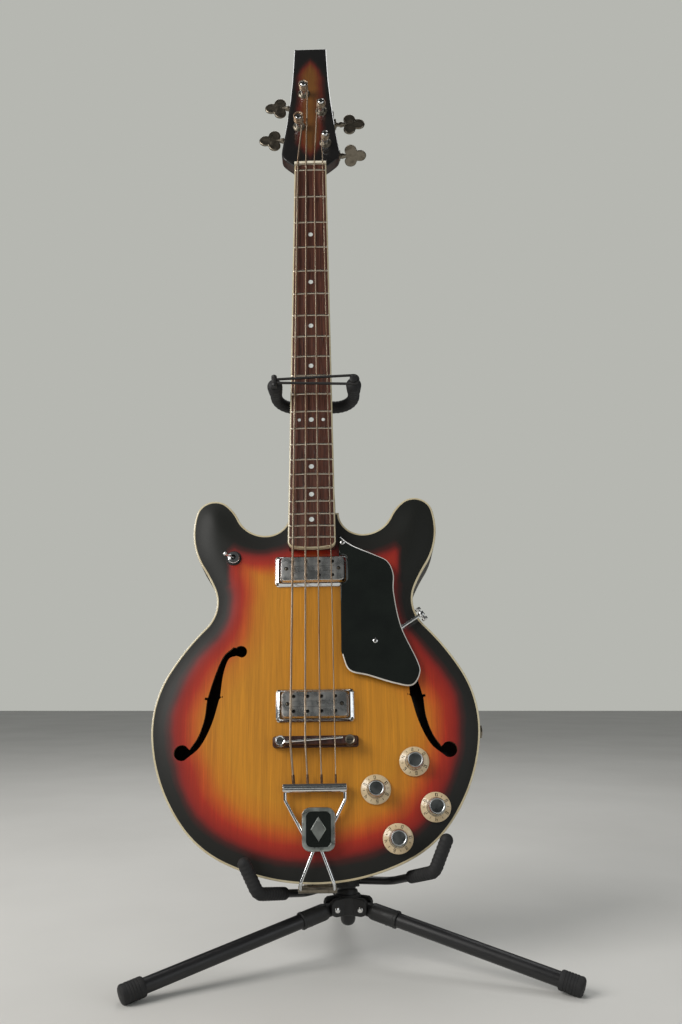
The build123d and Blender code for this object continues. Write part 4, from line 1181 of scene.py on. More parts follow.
def make_pickups(m):
    for index, (x, y) in enumerate(PICKUPS):
        label = ("neck", "bridge")[index]
        bm = bmesh.new()
        rows = rect_rows(bm, SURROUND_LEVELS, (x, y), TOP_Z, 6)
        skin(bm, rows + rows[:1])
        piece(f"{label}_pickup_surround", bm, GUITAR, m["chrome"], "guitar", ["pickup_rings"], 24)

        bm = bmesh.new()
        rows = rect_rows(bm, COVER_LEVELS, (x, y), TOP_Z, 6)
        skin(bm, rows)
        bm.faces.new(list(reversed(rows[0])))
        pocket_face(bm, rows[-1], x, y)
        piece(f"{label}_pickup_cover", bm, GUITAR, [m["cover"], m["hole"]], "guitar", ["pickup_covers"],
              24)

        bm = bmesh.new()
        for cx, cy in ((-41.2, -16.0), (41.2, -16.0), (-41.2, 16.0), (41.2, 16.0)):
            slotted_screw(bm, (x + cx, y + cy, TOP_Z + 2.2), 2.3, 0.9, 40 + 70 * rng.random())
        for cx in (-30.5, 30.5):
            slotted_screw(bm, (x + cx, y, TOP_Z + 8.6), 1.9, 1.0, 90 * rng.random())
        piece(f"{label}_pickup_screws", bm, GUITAR, [m["nickel"], m["hole"]], "guitar", ["screws"], 30)


def pocket_face(bm, rim, x, y):
    """Top of a pickup cover: eight pole holes, two screw holes and two engraved lines."""
    z = TOP_Z + 10.0
    holes = [(x + 15.6 * (c - 1.5), y + 8.5 * r, 2.05) for c in range(4) for r in (-1, 1)]
    holes += [(x - 30.5, y, 2.3), (x + 30.5, y, 2.3)]
    points = [(v.co.x, v.co.y) for v in rim]
    outline = points[:]
    edges = closed_edges(0, len(points))
    cuts = [[(cx + radius * math.cos(2 * math.pi * k / 24), cy + radius * math.sin(2 * math.pi * k / 24))
             for k in range(24)] for cx, cy, radius in holes]
    cuts += [rounded_rect(50.0, 0.28, 0.12, 1, (x, y + level)) for level in LINE_LEVELS]
    for cut in cuts:
        edges += closed_edges(len(points), len(cut))
        points += cut
    flat, faces = fill_flat(points, edges, outline, cuts)
    verts = [bm.verts.new((p.x, p.y, z)) for p in flat]
    made = [bm.faces.new([verts[k] for k in face]) for face in faces]
    border = [edge for edge in {e for face in made for e in face.edges} if edge.is_boundary]
    kept = [edge for edge in border if all(math.dist((v.co.x, v.co.y), (x, y)) < 33.6 and
                                           abs(v.co.y - y) < 13.0 and abs(v.co.x - x) < 34.0 for v in edge.verts)]
    walls = bmesh.ops.extrude_edge_only(bm, edges=kept)["geom"]
    for vertex in [item for item in walls if isinstance(item, bmesh.types.BMVert)]:
        shallow = abs(vertex.co.x - x) <= 25.2 and abs(abs(vertex.co.y - y) - 3.1) < 0.3
        vertex.co.z = z - (0.2 if shallow else 2.0)
    # painted shade: the walls of the holes and of the engraved lines take the near-black recess material
    for face in [item for item in walls if isinstance(item, bmesh.types.BMFace)]:
        face.material_index = 1
    bmesh.ops.remove_doubles(bm, verts=bm.verts, dist=0.004)
    # painted shade: near-black discs close the bottoms of the holes
    for cx, cy, radius in holes:
        lathe(bm, [(radius, z - 1.9), (0, z - 1.9)], (cx, cy, 0), 24, None, 1)
    # painted shade: near-black strips lie in the engraved lines
    for level in LINE_LEVELS:
        box(bm, (50.0, 0.3, 0.05), (x, y + level, z - 0.17), 1)


def slotted_screw(bm, at, radius, height, turn):
    """Domed screw head with a cross slot made of two near-black boxes set into the dome as painted shade."""
    x, y, z = at
    lathe(bm, [(radius * 0.7, z - 2.0), (radius * 0.9, z - 0.2), (radius, z), (radius * 0.97, z + height * 0.35),
               (radius * 0.75, z + height * 0.8), (radius * 0.4, z + height), (0, z + height * 1.04)], (x, y, 0), 24)
    for k in range(2):
        place = Matrix.Translation((x, y, z + height * 0.92)) @ turned("Z", turn + 90 * k)
        size = Matrix.Diagonal((radius * 1.25, radius * 0.2, height * 0.35, 1))
        made = bmesh.ops.create_cube(bm, size=1.0, matrix=place @ size)
        for vertex in made["verts"]:
            for face in vertex.link_faces:
                face.material_index = 1


def guard_outline():
    wave = spline_2d([(31.5, -526.8), (46.9, -539.3), (72.5, -551.4), (88.5, -560.5), (95.2, -577.0),
                      (95.0, -600.0), (102.3, -641.2), (119.3, -681.7), (121.8, -697.0), (112.5, -711.0),
                      (92.6, -708.4), (63.6, -698.9), (41.5, -692.0), (33.0, -670.0)], 7)
    notch = [(33.0, -588.0), (33.0, -586.1), (35.6, -586.0)]
    corner = circle_2d((35.6, -581.0), 5.0, -90, 0, 5)
    upper = circle_2d((35.6, -557.0), 5.0, 0, 90, 5)
    return wave + notch + corner + upper + [(31.5, -552.0)]


def make_guard(m):
    dense = densify(guard_outline(), 4.0)
    bm = bmesh.new()
    rows = inset_rows(bm, dense, ((0.0, -8.1), (0.0, -7.0), (0.55, -6.45), (1.15, -5.8), (1.5, -5.5)))
    for number, (first, second) in enumerate(zip(rows, rows[1:])):
        bridge(bm, first, second, True, 1 if number in (0, 1, 2) else 0)
    for face in bm.faces:
        middle = face.calc_center_median()
        if middle.x < 34.5 or (middle.x < 42.0 and -590.0 < middle.y < -549.0):
            face.material_index = 0
    fill_ring(bm, rows[0])
    fill_ring(bm, rows[-1])
    piece("guard_plate", bm, GUITAR, [m["guard"], m["white"]], "guitar", ["pickguard"], 20)
    bm = bmesh.new()
    for x, y in ((36.0, -536.3), (72.0, -658.1)):
        slotted_screw(bm, (x, y, -5.5), 2.7, 0.9, 35)
    piece("guard_screws", bm, GUITAR, [m["bright"], m["hole"]], "guitar", ["screws"], 30)

    rod = Matrix.Translation((92.0, -648.4, -10.2)) @ turned("Z", 33.9)
    lie = turned("Y", 90)
    bm = bmesh.new()
    lathe(bm, [(0, 0.0), (1.6, 0.0), (1.95, 0.4), (1.95, 37.0)], (0, 0, 0), 24, rod @ lie)
    across_rod = rod @ Matrix.Translation((41.0, 0, 0)) @ turned("X", 90)
    lathe(bm, [(1.56, -2.5), (3.2, -2.5), (3.4, -2.2), (3.4, 2.2), (3.2, 2.5), (1.56, 2.5)], (0, 0, 0), 28,
          across_rod)
    lathe(bm, [(2.6, -3.6), (2.6, -1.6)], (0, 0, 0), 20, rod @ Matrix.Translation((12.0, 0, 0)))
    slab(bm, rounded_rect(9.0, 6.0, 1.6, 4, (12.0, 0)), -3.8, 0.2, rod)
    piece("guard_arm", bm, GUITAR, m["chrome"], "guitar", ["guard_bracket"], 35)
    bm = bmesh.new()
    lathe(bm, [(0, -8.3), (2.9, -8.3), (3.4, -7.9), (3.5, -5.5), (3.1, -5.1), (1.5, -5.1), (1.5, 5.1), (3.1, 5.1),
               (3.5, 5.5), (3.4, 7.9), (2.9, 8.3), (0, 8.3)], (0, 0, 0), 28, across_rod)
    piece("arm_screw", bm, GUITAR, m["bright"], "clamp_screw", ["guard_clamp_screw"], 35)


def make_bridge(m):
    bm = bmesh.new()
    outline = rounded_rect(95.6, 12.5, 3.0, 6, (3.1, BRIDGE_Y))
    extrude_outline(bm, outline, TOP_Z - 0.2, TOP_Z + 6.0, 0.9)
    piece("bridge_foot", bm, GUITAR, m["bridge_wood"], "guitar", ["bridge_base"], 30)
    bm = bmesh.new()
    outline = rounded_rect(92.0, 10.0, 3.6, 6, (3.1, BRIDGE_Y))
    levels = ((0.7, 9.2), (0.0, 9.8), (0.0, 13.6), (0.7, 15.0), (1.9, 15.5))
    rows = inset_rows(bm, outline, [(inset, TOP_Z + z) for inset, z in levels])
    skin(bm, rows, True)
    piece("bridge_top", bm, GUITAR, m["bridge_wood"], "guitar", ["bridge_saddle"], 30)
    bm = bmesh.new()
    start = Vector((-29.4, BRIDGE_Y - 1.9, TOP_Z + 16.0))
    end = Vector((32.7, BRIDGE_Y + 2.3, TOP_Z + 16.0))
    round_ends(bm, [start, start.lerp(end, 0.5), end], 1.35)
    piece("saddle_rod", bm, GUITAR, m["bright"], "guitar", ["bridge_wire"], 50)
    for side, x, material in (("bass", -35.5, m["chrome"]), ("treble", 41.5, m["nickel"])):
        bm = bmesh.new()
        wheel = ((4.6, 6.2), (6.2, 6.35), (6.5, 6.7), (6.5, 8.5), (6.2, 8.85), (4.6, 9.0))
        wheel = [(radius, TOP_Z + z) for radius, z in wheel]
        rows = knurled(bm, wheel, (2, 3), 0.28, 72, 3, 1, (x, BRIDGE_Y))
        skin(bm, rows, True)
        lathe(bm, [(0, TOP_Z + 2.0), (1.95, TOP_Z + 2.0), (1.95, TOP_Z + 13.2), (0, TOP_Z + 13.2)], (x, BRIDGE_Y, 0), 24)
        piece(f"{side}_thumbwheel", bm, GUITAR, material, f"wheel_{side}", [f"bridge_wheel_{side}"], 30)
        bm = bmesh.new()
        lathe(bm, [(2.2, TOP_Z + 14.6), (5.2, TOP_Z + 14.9), (5.5, TOP_Z + 15.7), (5.1, TOP_Z + 16.2),
                   (4.3, TOP_Z + 16.0), (3.8, TOP_Z + 15.6), (0, TOP_Z + 15.6)], (x, BRIDGE_Y, 0), 32)
        # painted shade: the screw slot is a near-black box, not a cut
        box(bm, (7.0, 1.0, 0.5), (x, BRIDGE_Y, TOP_Z + 15.6), 1)
        piece(f"{side}_saddle_screw", bm, GUITAR, [material, m["hole"]], "guitar", ["bridge_saddle"], 35)


def make_tailpiece(m):
    """Trapeze: a grooved bar for the string ends, bent wires, a plain enamel plate and the hinge tube."""
    bm = bmesh.new()
    section = [(-4.7, -9.6), (-4.4, -10.0), (4.4, -10.0), (4.7, -9.6), (4.7, -4.2), (4.1, -3.0), (3.0, -2.4),
               (1.5, -2.5), (0.7, -3.4), (0.2, -4.6), (-0.4, -3.6), (-1.2, -2.7), (-2.6, -2.4), (-3.8, -3.0),
               (-4.7, -4.4)]
    rows = []
    for x, share in ((-32.9, 0.86), (-32.5, 0.97), (-32.0, 1.0), (36.2, 1.0), (36.7, 0.97), (37.1, 0.86)):
        rows.append(ring(bm, [(x, -825.0 + y * share, -6.2 + (z + 6.2) * share) for y, z in section]))
    skin(bm, rows, True)
    piece("tail_bar", bm, GUITAR, m["chrome"], "guitar", ["tailpiece_bar"], 28)

    bm = bmesh.new()
    z = -8.0
    for bend, path in ((7.0, [(-30.5, -828.0, z), (-30.5, -838.0, z), (-9.0, -878.0, z)]),
                       (7.0, [(35.0, -828.0, z), (35.0, -838.0, z), (15.0, -878.0, z)]),
                       (4.0, [(3.6, -884.0, z), (-13.5, -926.0, z), (-14.0, -933.0, -17.0)]),
                       (4.0, [(6.0, -884.0, z), (22.0, -926.0, z), (22.5, -933.0, -17.0)])):
        tube(bm, arc_points(path, bend, 6), 1.9, 18)
    for x in (-14.0, 22.5):
        lathe(bm, [(2.0, -2.6), (3.4, -2.6), (3.7, -2.2), (3.7, 2.2), (3.4, 2.6), (2.0, 2.6)], (0, 0, 0), 24,
              Matrix.Translation((x, -932.6, -19.0)) @ turned("Y", 90))
    piece("trapeze_wires", bm, GUITAR, m["chrome"], "guitar", ["tailpiece_wires"], 40)

    bm = bmesh.new()
    lie = Matrix.Translation((0, -932.4, -19.0)) @ turned("Y", 90)
    lathe(bm, [(2.2, -16.5), (4.0, -16.5), (4.2, -16.1), (4.2, 24.6), (4.0, 25.0), (2.2, 25.0), (2.1, 20.0),
               (0, 20.0)], (0, 0, 0), 28, lie)
    plate = rounded_rect(30.0, 26.0, 3.0, 5, (0, 0))
    hang = Matrix.Translation((4.2, -928.1, -31.0)) @ turned("X", 90)
    slab(bm, plate, -0.9, 0.9, hang)
    for x in (-5.5, 13.9):
        lathe(bm, [(2.9, 0.4), (2.8, 1.4), (1.8, 2.2), (0, 2.5)], (0, 0, 0), 20,
              hang @ Matrix.Translation((x - 4.2, -6.0, 0.4)))
    piece("tail_hinge", bm, GUITAR, m["nickel"], "guitar", ["tailpiece_bracket"], 32)

    bm = bmesh.new()
    levels = ((34.0, 45.0, 8.5, -10.1), (36.0, 47.0, 9.0, -9.2), (36.0, 47.0, 9.0, -4.9), (35.0, 46.0, 8.6, -4.1),
              (33.0, 44.0, 8.0, -3.9), (27.5, 38.5, 6.0, -3.9), (26.8, 37.8, 5.8, -4.7))
    rows = rect_rows(bm, levels, (6.0, -869.5), 0.0, 8)
    skin(bm, rows)
    bm.faces.new(rows[0])
    panel = bm.faces.new(rows[-1])
    panel.material_index = 1
    piece("tail_plate", bm, GUITAR, [m["plate"], m["guard"]], "guitar", ["tailpiece_plate"], 28)
    bm = bmesh.new()
    lozenge = [(6.0, -856.0), (14.5, -869.5), (6.0, -883.0), (-2.5, -869.5)]
    extrude_outline(bm, lozenge, -4.75, -4.1, 0.8)
    piece("tail_plate_lozenge", bm, GUITAR, m["plate"], "guitar", ["tailpiece_plate"], 30)


# ---- controls -----------------------------------------------------------------------------------------
KNOBS = ((109.7, -796.5), (66.6, -826.8), (131.5, -846.9), (89.5, -880.3))


def dial_digit(bm, digit, matrix, size):
    """Seven-stroke numeral lying on the dial."""
    strokes = {"0": "abcdef", "1": "bc", "2": "abged", "3": "abgcd", "4": "fgbc", "5": "afgcd", "6": "afgedc",
               "7": "abc", "8": "abcdefg", "9": "abcdfg"}
    w, h = 0.5 * size, size
    ends = {"a": ((0, h), (w, h)), "b": ((w, h), (w, h / 2)), "c": ((w, h / 2), (w, 0)), "d": ((0, 0), (w, 0)),
            "e": ((0, h / 2), (0, 0)), "f": ((0, h), (0, h / 2)), "g": ((0, h / 2), (w, h / 2))}
    thick = 0.13 * size
    for stroke in strokes[digit]:
        (x1, y1), (x2, y2) = ends[stroke]
        cx, cy = (x1 + x2) / 2 - w / 2, (y1 + y2) / 2 - h / 2
        sx = abs(x2 - x1) + thick
        sy = abs(y2 - y1) + thick
        corners = [(-1, -1), (1, -1), (1, 1), (-1, 1)]
        bm.faces.new([bm.verts.new(matrix @ Vector((cx + sx / 2 * a, cy + sy / 2 * b, 0))) for a, b in corners])


def make_knobs(m):
    """Four control knobs: a numbered clear-cream skirt under a flat-topped metal cap."""
    starts = (38.0, 95.0, 150.0, 70.0)
    for number, (x, y) in enumerate(KNOBS, start=1):
        place = BODY @ Matrix.Translation((x, y, TOP_Z))
        bm = bmesh.new()
        lathe(bm, [(9.0, 0.9), (16.2, 0.6), (16.6, 1.0), (16.6, 1.7), (16.2, 2.2), (13.5, 3.3), (10.6, 4.4),
                   (9.4, 5.4), (0, 5.4)], (0, 0, 0), 72)
        piece(f"knob_{number}_skirt", bm, place, m["dial"], f"knob_{number}", [f"knob_{number}"], 30)
        bm = bmesh.new()
        spin = starts[number - 1]
        for value in range(11):
            a = math.radians(spin + 300.0 * value / 10)
            lean = Matrix.Rotation(a, 4, "Z") @ Matrix.Translation((13.3, 0, 3.52)) @ turned("Y", 20.8)
            if value % 2 == 0:
                text = str(value)
                for place_index, digit in enumerate(text):
                    offset = (place_index - (len(text) - 1) / 2) * 2.1
                    glyph = lean @ turned("Z", -90) @ Matrix.Translation((offset, 0, 0))
                    dial_digit(bm, digit, glyph, 3.5)
            else:
                bm.faces.new([bm.verts.new(lean @ Vector((px, py, 0))) for px, py in
                              ((-1.2, -0.22), (1.2, -0.22), (1.2, 0.22), (-1.2, 0.22))])
        bmesh.ops.solidify(bm, geom=bm.faces[:], thickness=0.06)
        piece(f"knob_{number}_numbers", bm, place, m["ink"], f"knob_{number}", [f"knob_{number}"], 30)
        bm = bmesh.new()
        profile = ((10.5, 5.0), (10.3, 5.6), (9.8, 6.4), (9.6, 8.0), (9.4, 13.6), (9.0, 15.8), (8.3, 16.8),
                   (7.6, 17.0))
        rows = knurled(bm, profile, (3, 4, 5), 0.3, 120, 4, 2)
        skin(bm, rows)
        bm.faces.new(rows[0])
        inner = knurled(bm, ((7.1, 16.7),), (), 0.0, 120, 1, 0)[0]
        bridge(bm, rows[-1], inner)
        bm.faces.new(inner).material_index = 1
        lathe(bm, [(0, -5.0), (2.9, -5.0), (2.9, 1.5)], (0, 0, 0), 20)
        piece(f"knob_{number}_cap", bm, place, [m["cap"], m["cap_inlay"]], f"knob_{number}", [f"knob_{number}"],
              28)


def make_switch_and_jack(m):
    place = BODY @ Matrix.Translation((*SWITCH, TOP_Z))
    bm = bmesh.new()
    lathe(bm, [(5.0, -0.3), (9.0, -0.3), (9.1, 0.3), (8.6, 0.9), (6.9, 1.0), (4.6, 1.0)], (0, 0, 0), 48, None, 1)
    nut = ((7.0, 1.0), (7.3, 1.4), (7.3, 3.0), (6.6, 3.7), (4.6, 4.0), (3.6, 4.4), (3.2, 4.4), (3.2, 1.0))
    rows = knurled(bm, nut, (1, 2), 0.35, 96, 4, 2)
    skin(bm, rows)
    lathe(bm, [(0, -10.0), (5.8, -10.0), (5.8, 0.0)], (0, 0, 0), 32, None, 1)
    # painted shade: a near-black disc fills the bore of the nut round the lever
    lathe(bm, [(3.2, 1.2), (0, 1.2)], (0, 0, 0), 24, None, 1)
    piece("toggle_bushing", bm, place, [m["chrome"], m["hole"]], "guitar", ["toggle_base"], 32)
    lever = place @ Matrix.Translation((0, 0, 1.0)) @ turned("Y", -33)
    bm = bmesh.new()
    lathe(bm, [(0, 0.0), (1.3, 0.0), (1.3, 9.0), (1.5, 10.0), (2.2, 12.6), (2.35, 15.0), (2.1, 16.6), (1.3, 17.3),
               (0, 17.5)], (0, 0, 0), 28)
    piece("toggle_arm", bm, lever, m["bright"], "toggle", ["toggle_lever"], 40)

    jack = BODY @ Matrix.Translation((186.0, -760.0, -35.0)) @ turned("Y", 90)
    bm = bmesh.new()
    lathe(bm, [(9.4, -1.8), (9.4, 0.2), (9.0, 0.7), (6.6, 0.9)], (0, 0, 0), 40)
    corners = [math.radians(60 * k + 12) for k in range(6)]
    hexagon = [(8.2 * math.cos(a), 8.2 * math.sin(a)) for a in corners]
    extrude_outline(bm, hexagon, 0.8, 2.9, 0.3)
    lathe(bm, [(5.2, 2.9), (5.0, 3.7), (3.3, 3.7), (3.25, -23.0), (5.0, -23.0), (5.0, 0.6)], (0, 0, 0), 36)
    piece("jack_socket", bm, jack, m["nickel"], "guitar", ["output_jack"], 32)
    bm = bmesh.new()
    lathe(bm, [(3.2, -22.9), (0, -22.9)], (0, 0, 0), 24)
    for x, y in KNOBS:
        lathe(bm, [(3.05, TOP_Z - 4.0), (11.5, TOP_Z - 4.0), (11.5, TOP_Z - 13.5), (0, TOP_Z - 13.5)], (x, y, 0), 36,
              jack.inverted() @ BODY @ Matrix.Translation((x, y, 0)))
    piece("control_pots", bm, jack, m["nickel"], "guitar", ["potentiometers"], 32)


# ---- stand -----------------------------------------------------------------------------------------------
HUB_CENTRE = column_foot
LEG_LENGTH = 242.0


def leg_frame(name):
    """Frame at a leg's pivot: z runs along the leg to its foot, x is the hinge axis."""
    pivot = Vector(joints[f"leg_{name}_fold"]["pos_m"])
    radial = Vector((pivot.x - HUB_CENTRE.x, pivot.y - HUB_CENTRE.y, 0)).normalized()
    along = (radial * 236.0 - Vector((0, 0, 47.1))).normalized()
    tangent = Vector((-radial.y, radial.x, 0))
    return frame_matrix(pivot, tangent, along.cross(tangent), along)


def make_legs(m):
    for name in ("rear", "left", "right"):
        place = leg_frame(name)
        bm = bmesh.new()
        lathe(bm, [(6.6, 8.0), (8.6, 10.0), (9.4, 12.5), (9.5, 13.5), (9.5, 38.6), (9.9, 39.2), (9.9, 41.8),
                   (9.5, 42.4), (8.3, 42.6)], (0, 0, 0), 40)
        slab(bm, rounded_rect(7.9, 14.0, 1.0, 3), 3.0, 15.0, Matrix.Identity(4))
        across_leg = turned("Y", 90)
        lathe(bm, [(2.05, -3.95), (6.6, -3.95), (7.0, -3.6), (7.0, 3.6), (6.6, 3.95), (2.05, 3.95)], (0, 0, 0), 36,
              across_leg)
        lathe(bm, [(1.2, 0.9), (1.9, 0.4), (1.9, 0.0)], (0, 0, 0), 12,
              Matrix.Translation((0, -9.3, 30.0)) @ turned("X", 90))
        piece(f"leg_{name}_sleeve", bm, place, m["moulded"], f"leg_{name}", [f"leg_{name}"], 32)
        bm = bmesh.new()
        lathe(bm, [(0, 20.0), (8.0, 20.0), (8.0, LEG_LENGTH - 19.0), (0, LEG_LENGTH - 19.0)], (0, 0, 0), 48)
        piece(f"leg_{name}_tube", bm, place, m["powder"], f"leg_{name}", [f"leg_{name}"], 40)
        bm = bmesh.new()
        profile = [(8.05, -20.6), (9.6, -20.2), (10.4, -19.0)]
        z = -17.0
        while z < -2.0:
            profile += [(10.5, z), (10.5, z + 1.6), (10.15, z + 2.0), (10.15, z + 2.6)]
            z += 3.0
        profile += [(10.5, 0.5), (9.8, 2.4), (8.0, 3.6), (6.0, 4.0), (0, 4.0)]
        lathe(bm, profile, (0, 0, 0), 44, Matrix.Translation((0, 0, LEG_LENGTH)))
        cut = place.inverted()
        normal = (cut.to_3x3() @ Vector((0, 0, 1))).normalized()
        floor = cut @ Vector((place.to_translation().x, place.to_translation().y, 0.0))
        geometry = bm.verts[:] + bm.edges[:] + bm.faces[:]
        result = bmesh.ops.bisect_plane(bm, geom=geometry, plane_co=floor, plane_no=normal, clear_inner=True)
        rim = [item for item in result["geom_cut"] if isinstance(item, bmesh.types.BMEdge)]
        if rim:
            bmesh.ops.edgeloop_fill(bm, edges=rim)
        piece(f"foot_{name}", bm, place, m["rubber"], f"leg_{name}", [f"foot_cap_{name}"], 34)


def leg_heading(name):
    """Turn about the vertical that faces a leg's pivot from the hub."""
    pivot = Vector(joints[f"leg_{name}_fold"]["pos_m"])
    return Matrix.Rotation(math.atan2(pivot.y - HUB_CENTRE.y, pivot.x - HUB_CENTRE.x), 4, "Z")


def make_hub(m):
    place = Matrix.Translation(HUB_CENTRE) @ Matrix.Scale(MM, 4)
    bm = bmesh.new()
    lathe(bm, [(0, -21.9), (3.2, -21.7), (5.8, -20.4), (7.6, -18.0), (8.4, -15.0), (8.5, -8.0)], (0, 0, 0), 40)
    piece("hub_plug", bm, place, m["powder"], "stand_base", ["hub"], 40)
    bm = bmesh.new()
    lathe(bm, [(8.5, -8.2), (13.6, -8.2), (15.0, -7.0), (15.0, 11.8), (13.8, 13.6), (11.0, 14.2)], (0, 0, 0), 48)
    for name in ("rear", "left", "right"):
        turn = leg_heading(name)
        for sign in (-1, 1):
            side = [(9.0, -8.0), (21.0, -8.0), (24.6, -6.6), (26.6, -3.6), (27.0, 0.5), (27.0, 6.5), (25.8, 9.6),
                    (22.6, 11.9), (9.0, 12.0)]
            rows = []
            for inset, y in ((0.9, 4.25), (0.0, 4.9), (0.0, 9.1), (1.0, 10.0)):
                shape = inset_outline(side, inset) if inset else side
                rows.append(ring(bm, [turn @ Vector((px, sign * y, pz)) for px, pz in shape]))
            skin(bm, rows, True)
    piece("hub_casting", bm, place, m["moulded"], "stand_base", ["hub"], 30)
    bm = bmesh.new()
    for name in ("rear", "left", "right"):
        at = leg_heading(name) @ Matrix.Translation((20.0, 0, 0)) @ turned("X", 90)
        lathe(bm, [(0, -11.8), (1.4, -11.7), (2.8, -11.2), (3.5, -10.5), (3.6, -9.9), (1.95, -9.9), (1.95, 9.9),
                   (3.6, 9.9), (3.5, 10.5), (2.8, 11.2), (1.4, 11.7), (0, 11.8)], (0, 0, 0), 28, at)
    piece("hub_pins", bm, place, m["bright"], "stand_base", ["hub_rivets"], 40)
    bm = bmesh.new()
    lathe(bm, [(0, 6.0), (12.2, 6.0), (12.2, 15.2), (12.0, 16.4), (11.4, 17.8), (10.05, 18.2)], (0, 0, 0), 44)
    piece("hub_boss", bm, COLUMN, m["moulded"], "stand_base", ["hub"], 30)


def make_column(m):
    bm = bmesh.new()
    lathe(bm, [(8.8, 18.0), (9.8, 18.0), (10.0, 18.3), (10.0, 329.8), (8.8, 329.8), (8.8, 18.0)], (0, 0, 0), 48)
    piece("lower_post", bm, COLUMN, m["powder"], "stand_base", ["lower_tube"], 40)
    bm = bmesh.new()
    profile = [(10.05, 314.0), (12.8, 314.0), (13.6, 314.8), (13.6, 317.0)]
    z = 318.0
    while z < 341.0:
        profile += [(14.0, z), (14.0, z + 1.2), (13.5, z + 1.6), (13.5, z + 2.4)]
        z += 2.8
    profile += [(13.8, 344.0), (13.2, 347.0), (11.0, 349.8), (8.1, 350.0), (8.06, 330.5), (10.05, 330.0)]
    lathe(bm, profile, (0, 0, 0), 48)
    piece("clutch_collar", bm, COLUMN, m["moulded"], "stand_base", ["height_clutch"], 32)
    bm = bmesh.new()
    lathe(bm, [(0, 220.0), (7.6, 220.0), (7.95, 220.6), (7.95, 639.6), (7.6, 640.0), (0, 640.0)], (0, 0, 0), 48)
    piece("upper_post", bm, COLUMN, m["powder"], "upper_column", ["upper_tube"], 40)


def make_cradle(m):
    left = [(28.0, -924.0, -72.0), (-14.0, -936.0, -74.0), (-60.0, -936.5, 1.0), (-74.0, -906.0, 8.0)]
    right = [(30.0, -922.0, -72.0), (84.0, -924.0, -76.0), (126.0, -916.0, 1.0), (139.0, -884.0, 8.0)]
    bm = bmesh.new()
    for path in (left, right):
        tube(bm, rounded_path(path, (16.0, 10.0)), 4.5, 24)
    piece("cradle_rods", bm, BODY, m["powder"], "stand_base", ["cradle_frame"], 45)
    bm = bmesh.new()
    lathe(bm, [(10.05, 20.0), (13.8, 20.0), (14.5, 20.8), (14.5, 35.2), (13.8, 36.0), (10.05, 36.0)], (0, 0, 0), 44)
    piece("cradle_ring", bm, COLUMN, m["moulded"], "stand_base", ["cradle_frame"], 32)
    bm = bmesh.new()
    for path in (left, right):
        lower = Vector(path[1]) * 0.55 + Vector(path[2]) * 0.45
        line = rounded_path([tuple(lower), path[2], path[3]], (10.0,))
        fine = resample(line, 1.1)
        radii = [7.1 + 0.22 * math.sin(k * 1.45) for k in range(len(fine))]
        radii[0] = 5.4
        radii[1] = 6.7
        steps = 7
        ahead = (fine[-1] - fine[-2]).normalized()
        tip = [fine[-1] + ahead * 7.4 * math.sin(math.pi / 2 * k / steps) for k in range(1, steps + 1)]
        tip_radii = [max(0.15, 7.2 * math.cos(math.pi / 2 * k / steps)) for k in range(1, steps + 1)]
        tube(bm, fine + tip, radii + tip_radii, 28)
    piece("cradle_sleeves", bm, BODY, m["rubber"], "stand_base", ["cradle_pads"], 60)


def rounded_path(path, bends, steps=10):
    """Polyline with a different bend radius at each inner corner."""
    points = [Vector(path[0])]
    for (before, corner, after), radius in zip(zip(path, path[1:], path[2:]), bends):
        part = arc_points([before, corner, after], radius, steps)
        points += part[1:-1]
    points.append(Vector(path[-1]))
    return points


def resample(points, step):
    """Evenly spaced points along a polyline."""
    made = [Vector(points[0])]
    carry = 0.0
    for first, second in zip(points, points[1:]):
        length = (second - first).length
        along = step - carry
        while along < length:
            made.append(first.lerp(second, along / length))
            along += step
        carry = (carry + length) % step
    made.append(Vector(points[-1]))
    return made


